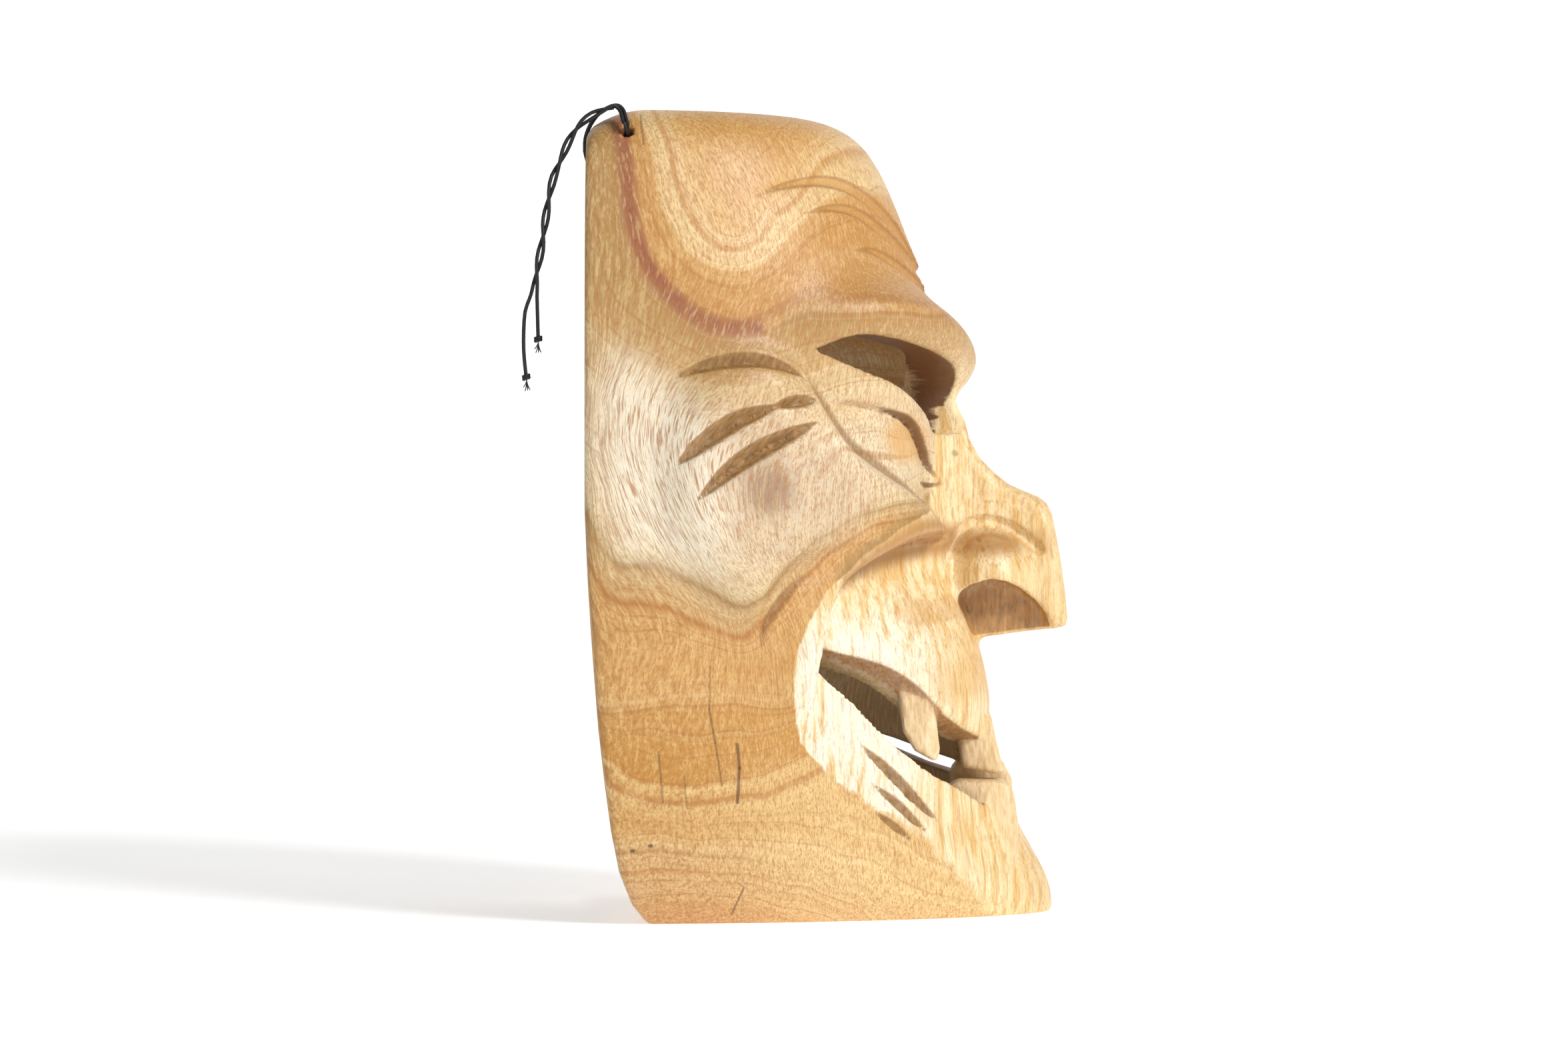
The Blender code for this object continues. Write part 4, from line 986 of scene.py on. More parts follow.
def settled(field, points, cell):
    """Points moved on to the surface where the field is zero, by a small part of a cell at most."""
    step = 1e-4
    x, forward, height = points[:, 0], REACH / 2 - points[:, 1], points[:, 2]
    here = field(x, forward, height)
    slope = np.column_stack([
        field(x + step, forward, height) - here,
        here - field(x, forward + step, height),
        field(x, forward, height + step) - here,
    ]) / step
    size = np.linalg.norm(slope, axis=1)[:, None] + 1e-6
    return points - slope / size * np.clip(here[:, None] / size, -0.35 * cell, 0.35 * cell)


def flat_cut(mesh, at, outward):
    """Takes off everything outside a plane and closes the cut exactly flat."""
    cells = mesh.verts[:] + mesh.edges[:] + mesh.faces[:]
    cut = bmesh.ops.bisect_plane(
        mesh, geom=cells, plane_co=at, plane_no=outward, clear_outer=True, dist=1e-5
    )["geom_cut"]
    edges = [part for part in cut if isinstance(part, bmesh.types.BMEdge)]
    bmesh.ops.triangle_fill(mesh, use_beauty=True, edges=edges, normal=outward)


def carved_mask(material):
    """The wood as one closed mesh, with its grain as attributes."""
    cell = CELL
    wood = Mask(*FACE_TABLE)
    field = bored(wood)
    margin = 2.5 * cell + FLAT_TRIM
    low = (-HALF_WIDTH - margin - CARVING_ROOM, -margin, -margin)
    top = (HALF_WIDTH + margin + CARVING_ROOM, REACH + margin + CARVING_ROOM, HEIGHT + margin)
    points, quads = skin_of(field, low, top, cell)
    points[:, 1] = REACH / 2 - points[:, 1]
    points = settled(field, points, cell)
    mask = skin_object("mask_wood", points, quads[:, ::-1], material)
    mesh = mask.data
    if 2 * len(quads) > MASK_TRIANGLES:
        fewer = mask.modifiers.new("fewer", "DECIMATE")
        fewer.ratio = MASK_TRIANGLES / (2 * len(quads))
        fewer.use_collapse_triangulate = True
    shape = bmesh.new()
    shape.from_mesh(mask.evaluated_get(bpy.context.evaluated_depsgraph_get()).to_mesh())
    mask.modifiers.clear()
    flat_cut(shape, (0, 0, 0), (0, 0, -1))
    flat_cut(shape, (0, REACH / 2, 0), (0, 1, 0))
    bmesh.ops.remove_doubles(shape, verts=shape.verts, dist=2e-5)
    bmesh.ops.triangulate(shape, faces=shape.faces)
    bmesh.ops.recalc_face_normals(shape, faces=shape.faces)
    shape.to_mesh(mesh)
    shape.free()
    mesh.shade_smooth()
    mesh.set_sharp_from_angle(angle=math.radians(55))
    places = np.empty(3 * len(mesh.vertices), np.float32)
    mesh.vertices.foreach_get("co", places)
    for name, values in grain_of(places.reshape(-1, 3).astype(float), wood).items():
        layer = mesh.attributes.new(name, "FLOAT_VECTOR", "POINT")
        layer.data.foreach_set("vector", values.astype(np.float32).ravel())
    return mask


class Wire:
    """A value in a node tree. Sums on it add Math nodes."""

    def __init__(self, tree, socket):
        self.tree = tree
        self.socket = socket

    def sum(self, operation, *values):
        node = self.tree.nodes.new("ShaderNodeMath")
        node.operation = operation
        for socket, value in zip(node.inputs, values):
            feed(self.tree, socket, value)
        return Wire(self.tree, node.outputs[0])

    def __add__(self, other):
        return self.sum("ADD", self, other)

    def __radd__(self, other):
        return self.sum("ADD", other, self)

    def __sub__(self, other):
        return self.sum("SUBTRACT", self, other)

    def __rsub__(self, other):
        return self.sum("SUBTRACT", other, self)

    def __mul__(self, other):
        return self.sum("MULTIPLY", self, other)

    def __rmul__(self, other):
        return self.sum("MULTIPLY", other, self)

    def __truediv__(self, other):
        return self.sum("DIVIDE", self, other)

    def __pow__(self, other):
        return self.sum("POWER", self, other)

    def __abs__(self):
        return self.sum("ABSOLUTE", self)

    def clamped(self):
        return self.sum("MINIMUM", self.sum("MAXIMUM", self, 0.0), 1.0)

    def over(self, low, high):
        """0 below low, 1 above high and a smooth rise between them."""
        span = self.tree.nodes.new("ShaderNodeMapRange")
        span.interpolation_type = "SMOOTHSTEP"
        feed(self.tree, span.inputs["Value"], self)
        flip = low > high
        span.inputs["From Min"].default_value = min(low, high)
        span.inputs["From Max"].default_value = max(low, high)
        span.inputs["To Min"].default_value = 1.0 if flip else 0.0
        span.inputs["To Max"].default_value = 0.0 if flip else 1.0
        return Wire(self.tree, span.outputs["Result"])

    def near(self, centre, width):
        """1 at a value, falling to 0 at a distance from it."""
        return abs(self - centre).over(width, 0.0)


def feed(tree, socket, value):
    if isinstance(value, Wire):
        tree.links.new(value.socket, socket)
    else:
        socket.default_value = value


def shade(red, green, blue):
    """A colour as the eye names it, from 0 to 255, for a socket."""
    linear = [
        (c / 255 / 12.92) if c <= 10 else ((c / 255 + 0.055) / 1.055) ** 2.4 for c in (red, green, blue)
    ]
    return (*linear, 1.0)


class Finish:
    """A material in the making."""

    def __init__(self, name):
        self.material = bpy.data.materials.new(name)
        self.material.use_nodes = True
        self.tree = self.material.node_tree
        self.surface = self.tree.nodes["Principled BSDF"]

    def node(self, kind, settings=None, sockets=None, output=0):
        """Any node: its settings are set first, then its sockets are given values or links."""
        made = self.tree.nodes.new(kind)
        for name, value in (settings or {}).items():
            if name == "stops":
                ramp = made.color_ramp
                while len(ramp.elements) > 1:
                    ramp.elements.remove(ramp.elements[-1])
                ramp.elements[0].position, ramp.elements[0].color = value[0]
                for place, colour in value[1:]:
                    ramp.elements.new(place).color = colour
            else:
                setattr(made, name, value)
        for key, value in (sockets or {}).items():
            feed(self.tree, made.inputs[key], value)
        return Wire(self.tree, made.outputs[output])

    def split(self, vector):
        node = self.node("ShaderNodeSeparateXYZ", None, {0: vector})
        return [Wire(self.tree, socket) for socket in node.socket.node.outputs]

    def joined(self, x, y, z):
        return self.node("ShaderNodeCombineXYZ", None, {0: x, 1: y, 2: z})

    def mix(self, factor, a, b):
        return self.node("ShaderNodeMix", {"data_type": "RGBA"}, {0: factor, 6: a, 7: b}, output=2)

    def paint(self, base, rows):
        """Colours laid over a base in turn, each by its own amount."""
        for amount, colour in rows:
            base = self.mix(amount, base, colour if isinstance(colour, Wire) else shade(*colour))
        return base

    def attribute(self, name):
        return self.split(self.node("ShaderNodeAttribute", {"attribute_name": name}, output=1))

    def noise(self, vector, scale, detail=2.0, roughness=0.5):
        return self.node(
            "ShaderNodeTexNoise",
            {"noise_dimensions": "3D"},
            {"Vector": vector, "Scale": scale, "Detail": detail, "Roughness": roughness},
        )

    def near_segment(self, across, up, start, end, half_width):
        """1 on a straight mark between two places, falling to 0 over twice its half width."""
        run, rise = end[0] - start[0], end[1] - start[1]
        size = run * run + rise * rise
        off, over = across - start[0], up - start[1]
        along = (off * (run / size) + over * (rise / size)).clamped()
        away = ((off - along * run) ** 2.0 + (over - along * rise) ** 2.0) ** 0.5
        return away.over(2 * half_width, 0.5 * half_width)

    def set(self, **constants):
        for name, value in constants.items():
            self.surface.inputs[name.replace("_", " ")].default_value = value

    def link(self, name, value):
        feed(self.tree, self.surface.inputs[name], value)

    def bump(self, height, strength, distance):
        return self.node(
            "ShaderNodeBump", None, {"Strength": strength, "Distance": distance, "Height": height}
        )


# Colours down the side of the face, by the value of the growth ring
RING_SHADES = (
    (0, (200, 152, 84)), (6, (208, 164, 98)), (9, (222, 188, 132)), (10, (236, 206, 154)),
    (11.2, (196, 148, 86)), (14, (222, 190, 134)), (18.5, (226, 196, 142)), (20, (202, 156, 92)),
    (24, (198, 148, 82)), (30, (192, 142, 80)), (31.6, (168, 122, 70)), (32.6, (198, 156, 98)),
    (34, (168, 126, 72)), (38, (180, 146, 92)), (46, (196, 164, 114)), (56, (222, 200, 158)),
    (66, (236, 220, 188)), (76, (224, 204, 164)), (79.2, (204, 182, 138)), (80.2, (160, 128, 78)),
    (82, (196, 164, 114)), (88, (206, 170, 116)), (89.6, (176, 118, 58)), (91.4, (206, 160, 98)),
    (104, (206, 156, 86)), (112, (198, 146, 68)), (119, (192, 136, 56)), (120.2, (228, 194, 130)),
    (122.4, (204, 158, 88)), (123.6, (180, 120, 54)), (124.8, (222, 186, 124)), (128, (210, 166, 98)),
    (133, (202, 154, 82)), (135, (224, 190, 134)), (137.4, (184, 134, 72)), (138.4, (220, 184, 130)),
    (143, (202, 156, 96)), (144, (216, 178, 124)), (150, (208, 162, 104)), (156, (202, 154, 104)),
)
RING_SPAN = 160.0

# Drying cracks and specks on the near side, in millimetres: start, end, half width, darkness
CRACKS = (
    ((36.2, 76.9), (35.9, 64.4), 0.22, 0.35),
    ((35.9, 64.4), (37.6, 54.5), 0.28, 0.55),
    ((37.6, 54.5), (39.5, 41.8), 0.25, 0.50),
    ((44.0, 54.0), (44.6, 46.9), 0.36, 0.70),
    ((44.6, 46.9), (44.0, 36.8), 0.38, 0.75),
    ((21.2, 52.0), (22.3, 37.0), 0.24, 0.50),
    ((28.5, 44.5), (29.2, 35.4), 0.20, 0.40),
    ((45.8, 11.2), (42.1, 2.9), 0.25, 0.60),
    ((15.7, 237.6), (16.8, 228.6), 0.25, 0.50),
    ((18.4, 24.1), (18.8, 24.1), 0.45, 0.80),
    ((13.2, 22.6), (13.6, 22.6), 0.45, 0.80),
    ((116.4, 113.6), (116.9, 113.2), 0.50, 0.75),
    ((117.6, 110.9), (117.8, 110.4), 0.45, 0.65),
    ((109.4, 139.9), (109.9, 139.5), 0.65, 0.45),
)


def ring_colours(wood, ring, stripes):
    """The colour of each growth ring, from two ramps that meet, with darker and lighter layers."""
    half = len(RING_SHADES) // 2
    ramps = []
    for rows in (RING_SHADES[: half + 1], RING_SHADES[half:]):
        stops = [(at / RING_SPAN, shade(*colour)) for at, colour in rows]
        ramps.append(wood.node("ShaderNodeValToRGB", {"stops": stops}, {0: ring / RING_SPAN}))
    meet = RING_SHADES[half][0]
    base = wood.mix(ring.over(meet - 0.01, meet + 0.01), *ramps)
    return wood.paint(base, (
        (0.30 * stripes.over(0.45, 0.75), (196, 142, 84)),
        (0.30 * stripes.over(0.5, 0.25), (242, 222, 178)),
    ))


def front_colours(wood, place, wander, ahead, up):
    """The pale wood of nose, muzzle and chin: streaked upright, paler at the jaw with a painted highlight,
    and darker at the tip as painted shade.
    """
    x, y, z = wood.split(place)
    streaks = wood.noise(wood.joined(x * 420.0, y * 420.0, z * 16.0), 1.0, 3.0, 0.6)
    patches = wood.noise(place, 26.0, 2.0, 0.5)
    patch_f, patch_h = MUZZLE_PATCH
    muzzle = (((ahead - patch_f) / 12.0) ** 2.0 + ((up - patch_h) / 5.0) ** 2.0) ** 0.5
    base = wood.mix(streaks.over(0.40, 0.66), shade(246, 224, 178), shade(224, 184, 118))
    return wood.paint(base, (
        (0.6 * patches.over(0.54, 0.66), (216, 170, 98)),
        # Paler streaks at the jaw: a painted highlight on the pale wood
        (0.85 * ahead.over(112.0, 90.0) * up.over(100.0, 82.0) * streaks.over(0.72, 0.46), (254, 247, 226)),
        # Painted shade on the most forward places, the nose tip and the lips
        (0.35 * ahead.over(118.0, 134.0), (218, 174, 104)),
        (0.5 * (muzzle + 1.2 * wander).over(1.1, 0.7), (204, 158, 96)),
    ))


def varnished_wood(settings):
    """Strongly figured pale wood under a satin varnish, coloured by the grain on its surface, with painted
    sheen, highlight and shade laid into the colour in places.
    """
    wood = Finish("varnished_wood")
    place = wood.node("ShaderNodeTexCoord", None, None, output=3)
    x, y, z = wood.split(place)
    ahead, up = (REACH / 2 - y) * 1000.0, z * 1000.0
    rings, threads, height = wood.attribute("grain")
    red, lilac, pale = wood.attribute("tint")
    front, hollow, knot = wood.attribute("zone")
    gouge, band, crease = wood.attribute("cuts")
    eye, mouth, pocket = wood.attribute("walls")
    tooth, facet, valley = wood.attribute("block")

    def along_fibres(across, along, detail, roughness):
        """Noise drawn out along the fibres, by how often it changes in a millimetre."""
        at = wood.joined(threads * across, x * (1000.0 * across), height * along)
        return wood.noise(at, 1.0, detail, roughness)

    wander = wood.noise(place, 60.0, 3.0) - 0.5
    ring = rings + 3.0 * wander
    stripes = wood.noise(wood.joined(ring * 0.35, x * 6.0, 0.0), 1.0, 4.0, 0.6)
    contour = wood.noise(wood.joined(ring * 1.1, x * 4.0, 3.0), 1.0, 2.0, 0.5)
    streaks = along_fibres(1.2, 0.09, 3.0, 0.6)
    fine = along_fibres(2.3, 0.62, 2.0, 0.55).over(0.50, 0.62)
    thin = along_fibres(2.2, 0.15, 2.0, 0.5).over(0.52, 0.64)
    mottle = along_fibres(0.9, 0.25, 3.0, 0.6).over(0.3, 0.7)

    ragged = front + 0.9 * (wood.noise(place, 120.0, 3.0, 0.6) - 0.5)
    front = ragged.over(0.35, 0.65) * up.over(174.0, 158.0)
    behind = 1 - front
    outside = 1 - hollow
    near_side = x.over(0.0, -0.01)
    jaw = ahead.over(20.0, 74.0) * up.over(60.0, 40.0)
    base = wood.paint(ring_colours(wood, ring, stripes), (
        (0.80 * jaw * stripes.over(0.80, 0.30), (242, 212, 156)),
        (0.45 * contour.over(0.56, 0.66) * (1 - 0.7 * pale), (168, 112, 54)),
        (front, front_colours(wood, place, wander, ahead, up)),
        # Painted sheen on the pale patch of the side
        (0.75 * pale * behind, (244, 236, 216)),
        (0.70 * lilac * behind, (204, 182, 154)),
        (0.70 * knot.over(0.05, 0.85), (136, 102, 82)),
        (0.90 * red.over(0.15, 0.95) * (0.2 + 1.5 * streaks).clamped(), (142, 78, 62)),
        # Painted shade towards the back rim, in darker streaks
        (0.30 * ahead.over(14.0, 2.0) * streaks.over(0.4, 0.6), (146, 112, 62)),
        (hollow, (176, 150, 108)),
        (0.42 * streaks.over(0.50, 0.66), (172, 114, 54)),
        (0.26 * streaks.over(0.50, 0.36), (244, 214, 154)),
        (0.50 * fine * (1 - 0.65 * pale) * (1 - 0.6 * front), (172, 110, 44)),
        (0.75 * thin * (0.3 + 0.7 * pale) * behind, (168, 114, 60)),
    ))
    base = wood.paint(base, [
        (dark * wood.near_segment(ahead, up, start, end, half_width) * near_side, (84, 52, 26))
        for start, end, half_width, dark in CRACKS
    ])

    def mottled(dark, light):
        return wood.mix(mottle, shade(*dark), shade(*light))

    ball_f, ball_h = EYEBALL
    ball = ((ahead - ball_f) ** 2.0 + (up - ball_h) ** 2.0) ** 0.5
    # Bare wood in the gouges, darkened further as a painted shade
    bare_and_shaded = mottled((122, 84, 40), (166, 124, 68))
    # A mottled reddish brown: the painted shade in the mouth and the nostril pockets
    wall_shade_colour = mottled((124, 76, 34), (178, 124, 66))
    base = wood.paint(base, (
        (0.55 * outside * band.over(-0.2, 0.8), (198, 148, 78)),
        # Painted shade line along the edges of the forehead bands
        (0.55 * outside * band.near(0.25, 0.8), (152, 100, 46)),
        # Painted shade along the cheek fold: a streaked olive band on the cheek side, a brown band on the
        # muzzle side
        (0.85 * outside * facet.near(-4.0, 4.6) * behind * (0.55 + 0.6 * streaks).clamped(), (152, 120, 70)),
        (0.85 * outside * facet.near(-1.6, 5.0) * front, (178, 128, 72)),
        # Painted shade in the valleys between eye and cheek and beside the smile
        (0.75 * outside * valley.over(-0.9, 0.9) * (0.5 + 0.8 * streaks).clamped(), (140, 98, 54)),
        (0.70 * outside * ball.over(10.0, 3.0) * near_side, (212, 158, 80)),
        # The gouges: bare wood with painted shade
        (0.88 * outside * gouge.over(-0.25, 0.45), bare_and_shaded),
        # Painted shade in the lid crease and at the eye's corner
        (0.85 * outside * crease.over(-0.3, 0.4), (112, 70, 34)),
        # Painted shade in the mouth
        (0.85 * outside * mouth.over(-0.2, 0.5), wall_shade_colour),
        # Painted shade on the walls of the eye cuts
        (0.94 * outside * eye.over(-0.2, 0.5), (94, 50, 10)),
        # Painted shade in the nostril pockets
        (0.75 * outside * pocket.over(-0.2, 0.5), wall_shade_colour),
        # Painted shade on the facet under the cheek, mottled
        (0.80 * outside * facet.over(-0.4, 0.8), mottled((150, 94, 52), (188, 134, 80))),
        (0.85 * tooth.over(0.0, 0.5), mottled((216, 180, 128), (242, 218, 174))),
    ))

    wood.link("Base Color", base)
    wood.link("Roughness", settings.roughness + 0.12 * fine + 0.2 * hollow)
    wood.link("Normal", wood.bump(fine * -1.0 + 0.6 * streaks, 0.22, settings.pore_depth))
    wood.set(Specular_IOR_Level=0.45, Coat_Weight=settings.coat, Coat_Roughness=0.36)
    return wood.material


def waxed_cord():
    """Black twisted cord with a dull wax on it."""
    cord = Finish("waxed_cord")
    place = cord.node("ShaderNodeTexCoord", None, None, output=3)
    fuzz = cord.noise(place, 2600.0, 3.0, 0.6)
    cord.link("Base Color", cord.mix(fuzz, shade(10, 10, 12), shade(46, 45, 48)))
    cord.link("Roughness", 0.40 + 0.3 * fuzz)
    cord.link("Normal", cord.bump(fuzz, 0.4, 0.00008))
    cord.set(Specular_IOR_Level=0.45)
    return cord.material


def geometry_tree(name, inputs):
    """A Geometry Nodes tree with a Geometry input and output and further named inputs."""
    tree = bpy.data.node_groups.new(name, "GeometryNodeTree")
    tree.interface.new_socket(name="Path", in_out="INPUT", socket_type="NodeSocketGeometry")
    for label, kind in inputs:
        tree.interface.new_socket(name=label, in_out="INPUT", socket_type=kind)
    tree.interface.new_socket(name="Mesh", in_out="OUTPUT", socket_type="NodeSocketGeometry")
    return tree


def twisted_cord_tree():
    """Strands laid round a path, each a round tube that turns about the path once in a lay."""
    tree = geometry_tree(
        "twisted_cord",
        (
            ("Strands", "NodeSocketInt"),
            ("Lay", "NodeSocketFloat"),
            ("Strand Radius", "NodeSocketFloat"),
            ("Offset", "NodeSocketFloat"),
            ("Step", "NodeSocketFloat"),
            ("Material", "NodeSocketMaterial"),
        ),
    )

    def add(kind, links=None, settings=None, output=0):
        node = tree.nodes.new(kind)
        for key, value in (settings or {}).items():
            setattr(node, key, value)
        for key, value in (links or {}).items():
            if isinstance(value, bpy.types.NodeSocket):
                tree.links.new(value, node.inputs[key])
            else:
                node.inputs[key].default_value = value
        return node.outputs[output]

    given = tree.nodes.new("NodeGroupInput").outputs
    path = {"Curve": given["Path"], "Length": given["Step"]}
    fine = add("GeometryNodeResampleCurve", path, {"mode": "LENGTH"})
    strands = {"Geometry": fine, "Amount": given["Strands"]}
    copies = add("GeometryNodeDuplicateElements", strands, {"domain": "SPLINE"})
    number = copies.node.outputs["Duplicate Index"]
    passed = add("GeometryNodeSplineParameter", output=1)
    turns = add("ShaderNodeMath", {0: passed, 1: given["Lay"]}, {"operation": "DIVIDE"})
    share = add("ShaderNodeMath", {0: number, 1: given["Strands"]}, {"operation": "DIVIDE"})
    turn = add("ShaderNodeMath", {0: turns, 1: share}, {"operation": "ADD"})
    angle = add("ShaderNodeMath", {0: turn, 1: 2 * math.pi}, {"operation": "MULTIPLY"})
    normal = add("GeometryNodeInputNormal")
    tangent = add("GeometryNodeInputTangent")
    side = add("ShaderNodeVectorMath", {0: tangent, 1: normal}, {"operation": "CROSS_PRODUCT"})
    parts = []
    for axis, wave in ((normal, "COSINE"), (side, "SINE")):
        size = add("ShaderNodeMath", {0: angle}, {"operation": wave})
        reach = add("ShaderNodeMath", {0: size, 1: given["Offset"]}, {"operation": "MULTIPLY"})
        parts.append(add("ShaderNodeVectorMath", {0: axis, "Scale": reach}, {"operation": "SCALE"}))
    shift = add("ShaderNodeVectorMath", {0: parts[0], 1: parts[1]}, {"operation": "ADD"})
    moved = add("GeometryNodeSetPosition", {"Geometry": copies, "Offset": shift})
    ring = add("GeometryNodeCurvePrimitiveCircle", {"Resolution": 8, "Radius": given["Strand Radius"]})
    tube = add("GeometryNodeCurveToMesh", {"Curve": moved, "Profile Curve": ring, "Fill Caps": True})
    whole = add("GeometryNodeRealizeInstances", {"Geometry": tube})
    dressed = add("GeometryNodeSetMaterial", {"Geometry": whole, "Material": given["Material"]})
    out = tree.nodes.new("NodeGroupOutput")
    tree.links.new(dressed, out.inputs["Mesh"])
    return tree


def path_curve(name, points, closed=False):
    curve = bpy.data.curves.new(name, "CURVE")
    curve.dimensions = "3D"
    line = curve.splines.new("POLY")
    line.points.add(len(points) - 1)
    line.points.foreach_set("co", np.column_stack([points, np.ones(len(points))]).ravel())
    line.use_cyclic_u = closed
    made = bpy.data.objects.new(name, curve)
    bpy.context.scene.collection.objects.link(made)
    return made


def twisted_cord(name, points, diameter, material, closed=False, strands=3, lay=0.0034, step=0.00035):
    """A twisted cord of a diameter along points, as one plain mesh."""
    tree = bpy.data.node_groups.get("twisted_cord") or twisted_cord_tree()
    path = path_curve(name + "_path", points, closed)
    twist = path.modifiers.new("twist", "NODES")
    twist.node_group = tree
    strand = diameter / (2 + 2 / math.sin(math.pi / strands)) * 2.06
    values = {
        "Strands": strands,
        "Lay": lay,
        "Strand Radius": strand,
        "Offset": diameter / 2 - strand,
        "Step": step,
        "Material": material,
    }
    for item in tree.interface.items_tree:
        if item.item_type == "SOCKET" and item.name in values:
            twist[item.identifier] = values[item.name]
    mesh = bpy.data.meshes.new_from_object(path.evaluated_get(bpy.context.evaluated_depsgraph_get()))
    bpy.data.objects.remove(path)
    mesh.name = name
    mesh.shade_smooth()
    made = bpy.data.objects.new(name, mesh)
    bpy.context.scene.collection.objects.link(made)
    return made


def cord_paths():
    """The centrelines of the hitch and of the two tails, as the solid has them."""
    wood = Mask(*CORD_FACE_TABLE)
    in_bore = [to_part(bore_point(along)) for along in HITCH_IN_BORE]
    loop = [*in_bore, *placed(HITCH_OUTSIDE)]
    loop = spline([*loop[-2:], *loop, *loop[:2]], 4)[8:-5]
    outside = loop[4 * (len(in_bore) - 1) + 1 :]
    outside = clear_of_wood(wood, outside, 0.55 * CORD_DIAMETER)
    loop = np.vstack([loop[: len(loop) - len(outside)], outside])
    gap = CORD_DIAMETER + CORD_CLEARANCE
    tails = []
    for end, last_turn in ((LONG_END, -math.pi / 2), (SHORT_END, math.pi / 2)):
        run = clear_of_wood(wood, placed(spline([*TAILS_TOGETHER, *end], 2)), 1.3 * gap)
        passed = np.concatenate([[0], np.cumsum(np.linalg.norm(np.diff(run, axis=0), axis=1))])
        untwisted = passed[2 * (len(TAILS_TOGETHER) - 1)]
        angle = last_turn + 2 * math.pi * np.clip(untwisted - passed, 0, None) / TWIST_LENGTH
        along = np.gradient(run, axis=0)
        along /= np.linalg.norm(along, axis=1)[:, None]
        aside = np.cross(along, (1.0, 0.0, 0.0))
        out = np.cross(aside, along)
        ring = aside * np.sin(angle)[:, None] + out * np.cos(angle)[:, None]
        tails.append(run + 0.54 * gap * ring)
    return loop, away_from_wood(wood, loop)[1], tails


def length_of(points):
    return float(np.linalg.norm(np.diff(points, axis=0), axis=1).sum())


# What a user may change
class StageSettings(bpy.types.PropertyGroup):
    camera_distance: FloatProperty(
        name="Camera Distance",
        description="From the mask's middle to the camera",
        default=1.3,
        unit="LENGTH",
    )
    camera_height: FloatProperty(
        name="Camera Height",
        description="Height of the camera over the floor",
        default=0.1186,
        unit="LENGTH",
    )
    lens: FloatProperty(name="Lens", description="Focal length in millimetres", default=97.4)
    floor_colour: FloatVectorProperty(
        name="Floor Colour",
        description="Colour of floor and backdrop",
        default=(0.90, 0.895, 0.89),
        subtype="COLOR",
    )


class CordSettings(bpy.types.PropertyGroup):
    lay: FloatProperty(
        name="Lay", description="Length in which a strand turns once", default=0.0034, unit="LENGTH"
    )


class WoodSettings(bpy.types.PropertyGroup):
    roughness: FloatProperty(
        name="Roughness", description="Roughness of the wood under its coat", default=0.46, subtype="FACTOR"
    )
    coat: FloatProperty(
        name="Coat", description="Weight of the clear coat of varnish", default=0.12, subtype="FACTOR"
    )
    pore_depth: FloatProperty(
        name="Pore Depth", description="Depth of the pores in the wood", default=0.00008, unit="LENGTH"
    )


class MASK_OT_stage(bpy.types.Operator):
    """Makes the camera, the pale floor and the soft studio lights"""

    bl_idname = "wooden_mask.stage"
    bl_label = "Studio"

    def execute(self, context):
        settings = context.scene.mask_stage
        scene = context.scene
        camera = bpy.data.objects.new("camera", bpy.data.cameras.new("camera"))
        camera.location = (-settings.camera_distance, 0.0144, settings.camera_height)
        camera.rotation_euler = (math.pi / 2, 0.0, -math.pi / 2)
        camera.data.lens = settings.lens
        camera.data.sensor_width = 36.0
        scene.collection.objects.link(camera)
        scene.camera = camera
        scene.view_settings.view_transform = "Standard"
        floor_shape(settings)
        studio_lights()
        return {"FINISHED"}


# The floor: half its size, where it starts to bend up behind the mask, radius and steps of the bend
FLOOR_REACH = 3.0
FLOOR_FLAT = 1.2
FLOOR_BEND = 0.6
BEND_STEPS = 12

# Lights: name, place, size, power, aim
LIGHTS = (
    ("key", (-0.97, -0.92, 1.02), 0.5, 20.5, (0.0, 0.0, 0.12)),
    ("fill", (-1.7, 0.9, 0.7), 1.4, 3.8, (0.0, 0.0, 0.12)),
    ("backdrop", (0.9, 0.0, 1.5), 1.6, 4.0, (1.9, 0.0, 0.0)),
)
SKY_STRENGTH = 0.12


def floor_shape(settings):
    """A floor that curves up into a backdrop behind the mask."""
    profile = [(-FLOOR_REACH, 0.0), (FLOOR_FLAT, 0.0)]
    for i in range(1, BEND_STEPS + 1):
        a = math.pi / 2 * i / BEND_STEPS
        profile.append((FLOOR_FLAT + FLOOR_BEND * math.sin(a), FLOOR_BEND * (1 - math.cos(a))))
    profile.append((FLOOR_FLAT + FLOOR_BEND, FLOOR_REACH))
    points = [(x, y, z) for x, z in profile for y in (-FLOOR_REACH, FLOOR_REACH)]
    faces = [(i, i + 2, i + 3, i + 1) for i in range(0, 2 * len(profile) - 2, 2)]
    cloth = Finish("white_floor")
    place = cloth.node("ShaderNodeTexCoord", None, None, output=3)
    weave = cloth.noise(place, 900.0, 2.0, 0.6)
    cloth.link("Base Color", cloth.mix(0.5 * weave, (*settings.floor_colour, 1), (0.97, 0.97, 0.97, 1)))
    cloth.set(Roughness=0.9, Emission_Color=(1.0, 1.0, 1.0, 1.0), Emission_Strength=0.46)
    floor = skin_object("studio_floor", points, faces, cloth.material)
    floor.data.shade_smooth()


def studio_lights():
    """A dim white sky and three soft disks of light."""
    world = bpy.data.worlds.new("studio")
    world.use_nodes = True
    world.node_tree.nodes["Background"].inputs["Color"].default_value = (1.0, 1.0, 1.0, 1.0)
    world.node_tree.nodes["Background"].inputs["Strength"].default_value = SKY_STRENGTH
    bpy.context.scene.world = world
    for name, place, size, power, aim in LIGHTS:
        light = bpy.data.lights.new(name, "AREA")
        light.shape = "DISK"
        light.size = size
        light.energy = power
        lamp = bpy.data.objects.new(name, light)
        lamp.location = place
        lamp.rotation_euler = (Vector(aim) - Vector(place)).to_track_quat("-Z", "Y").to_euler()
        bpy.context.scene.collection.objects.link(lamp)


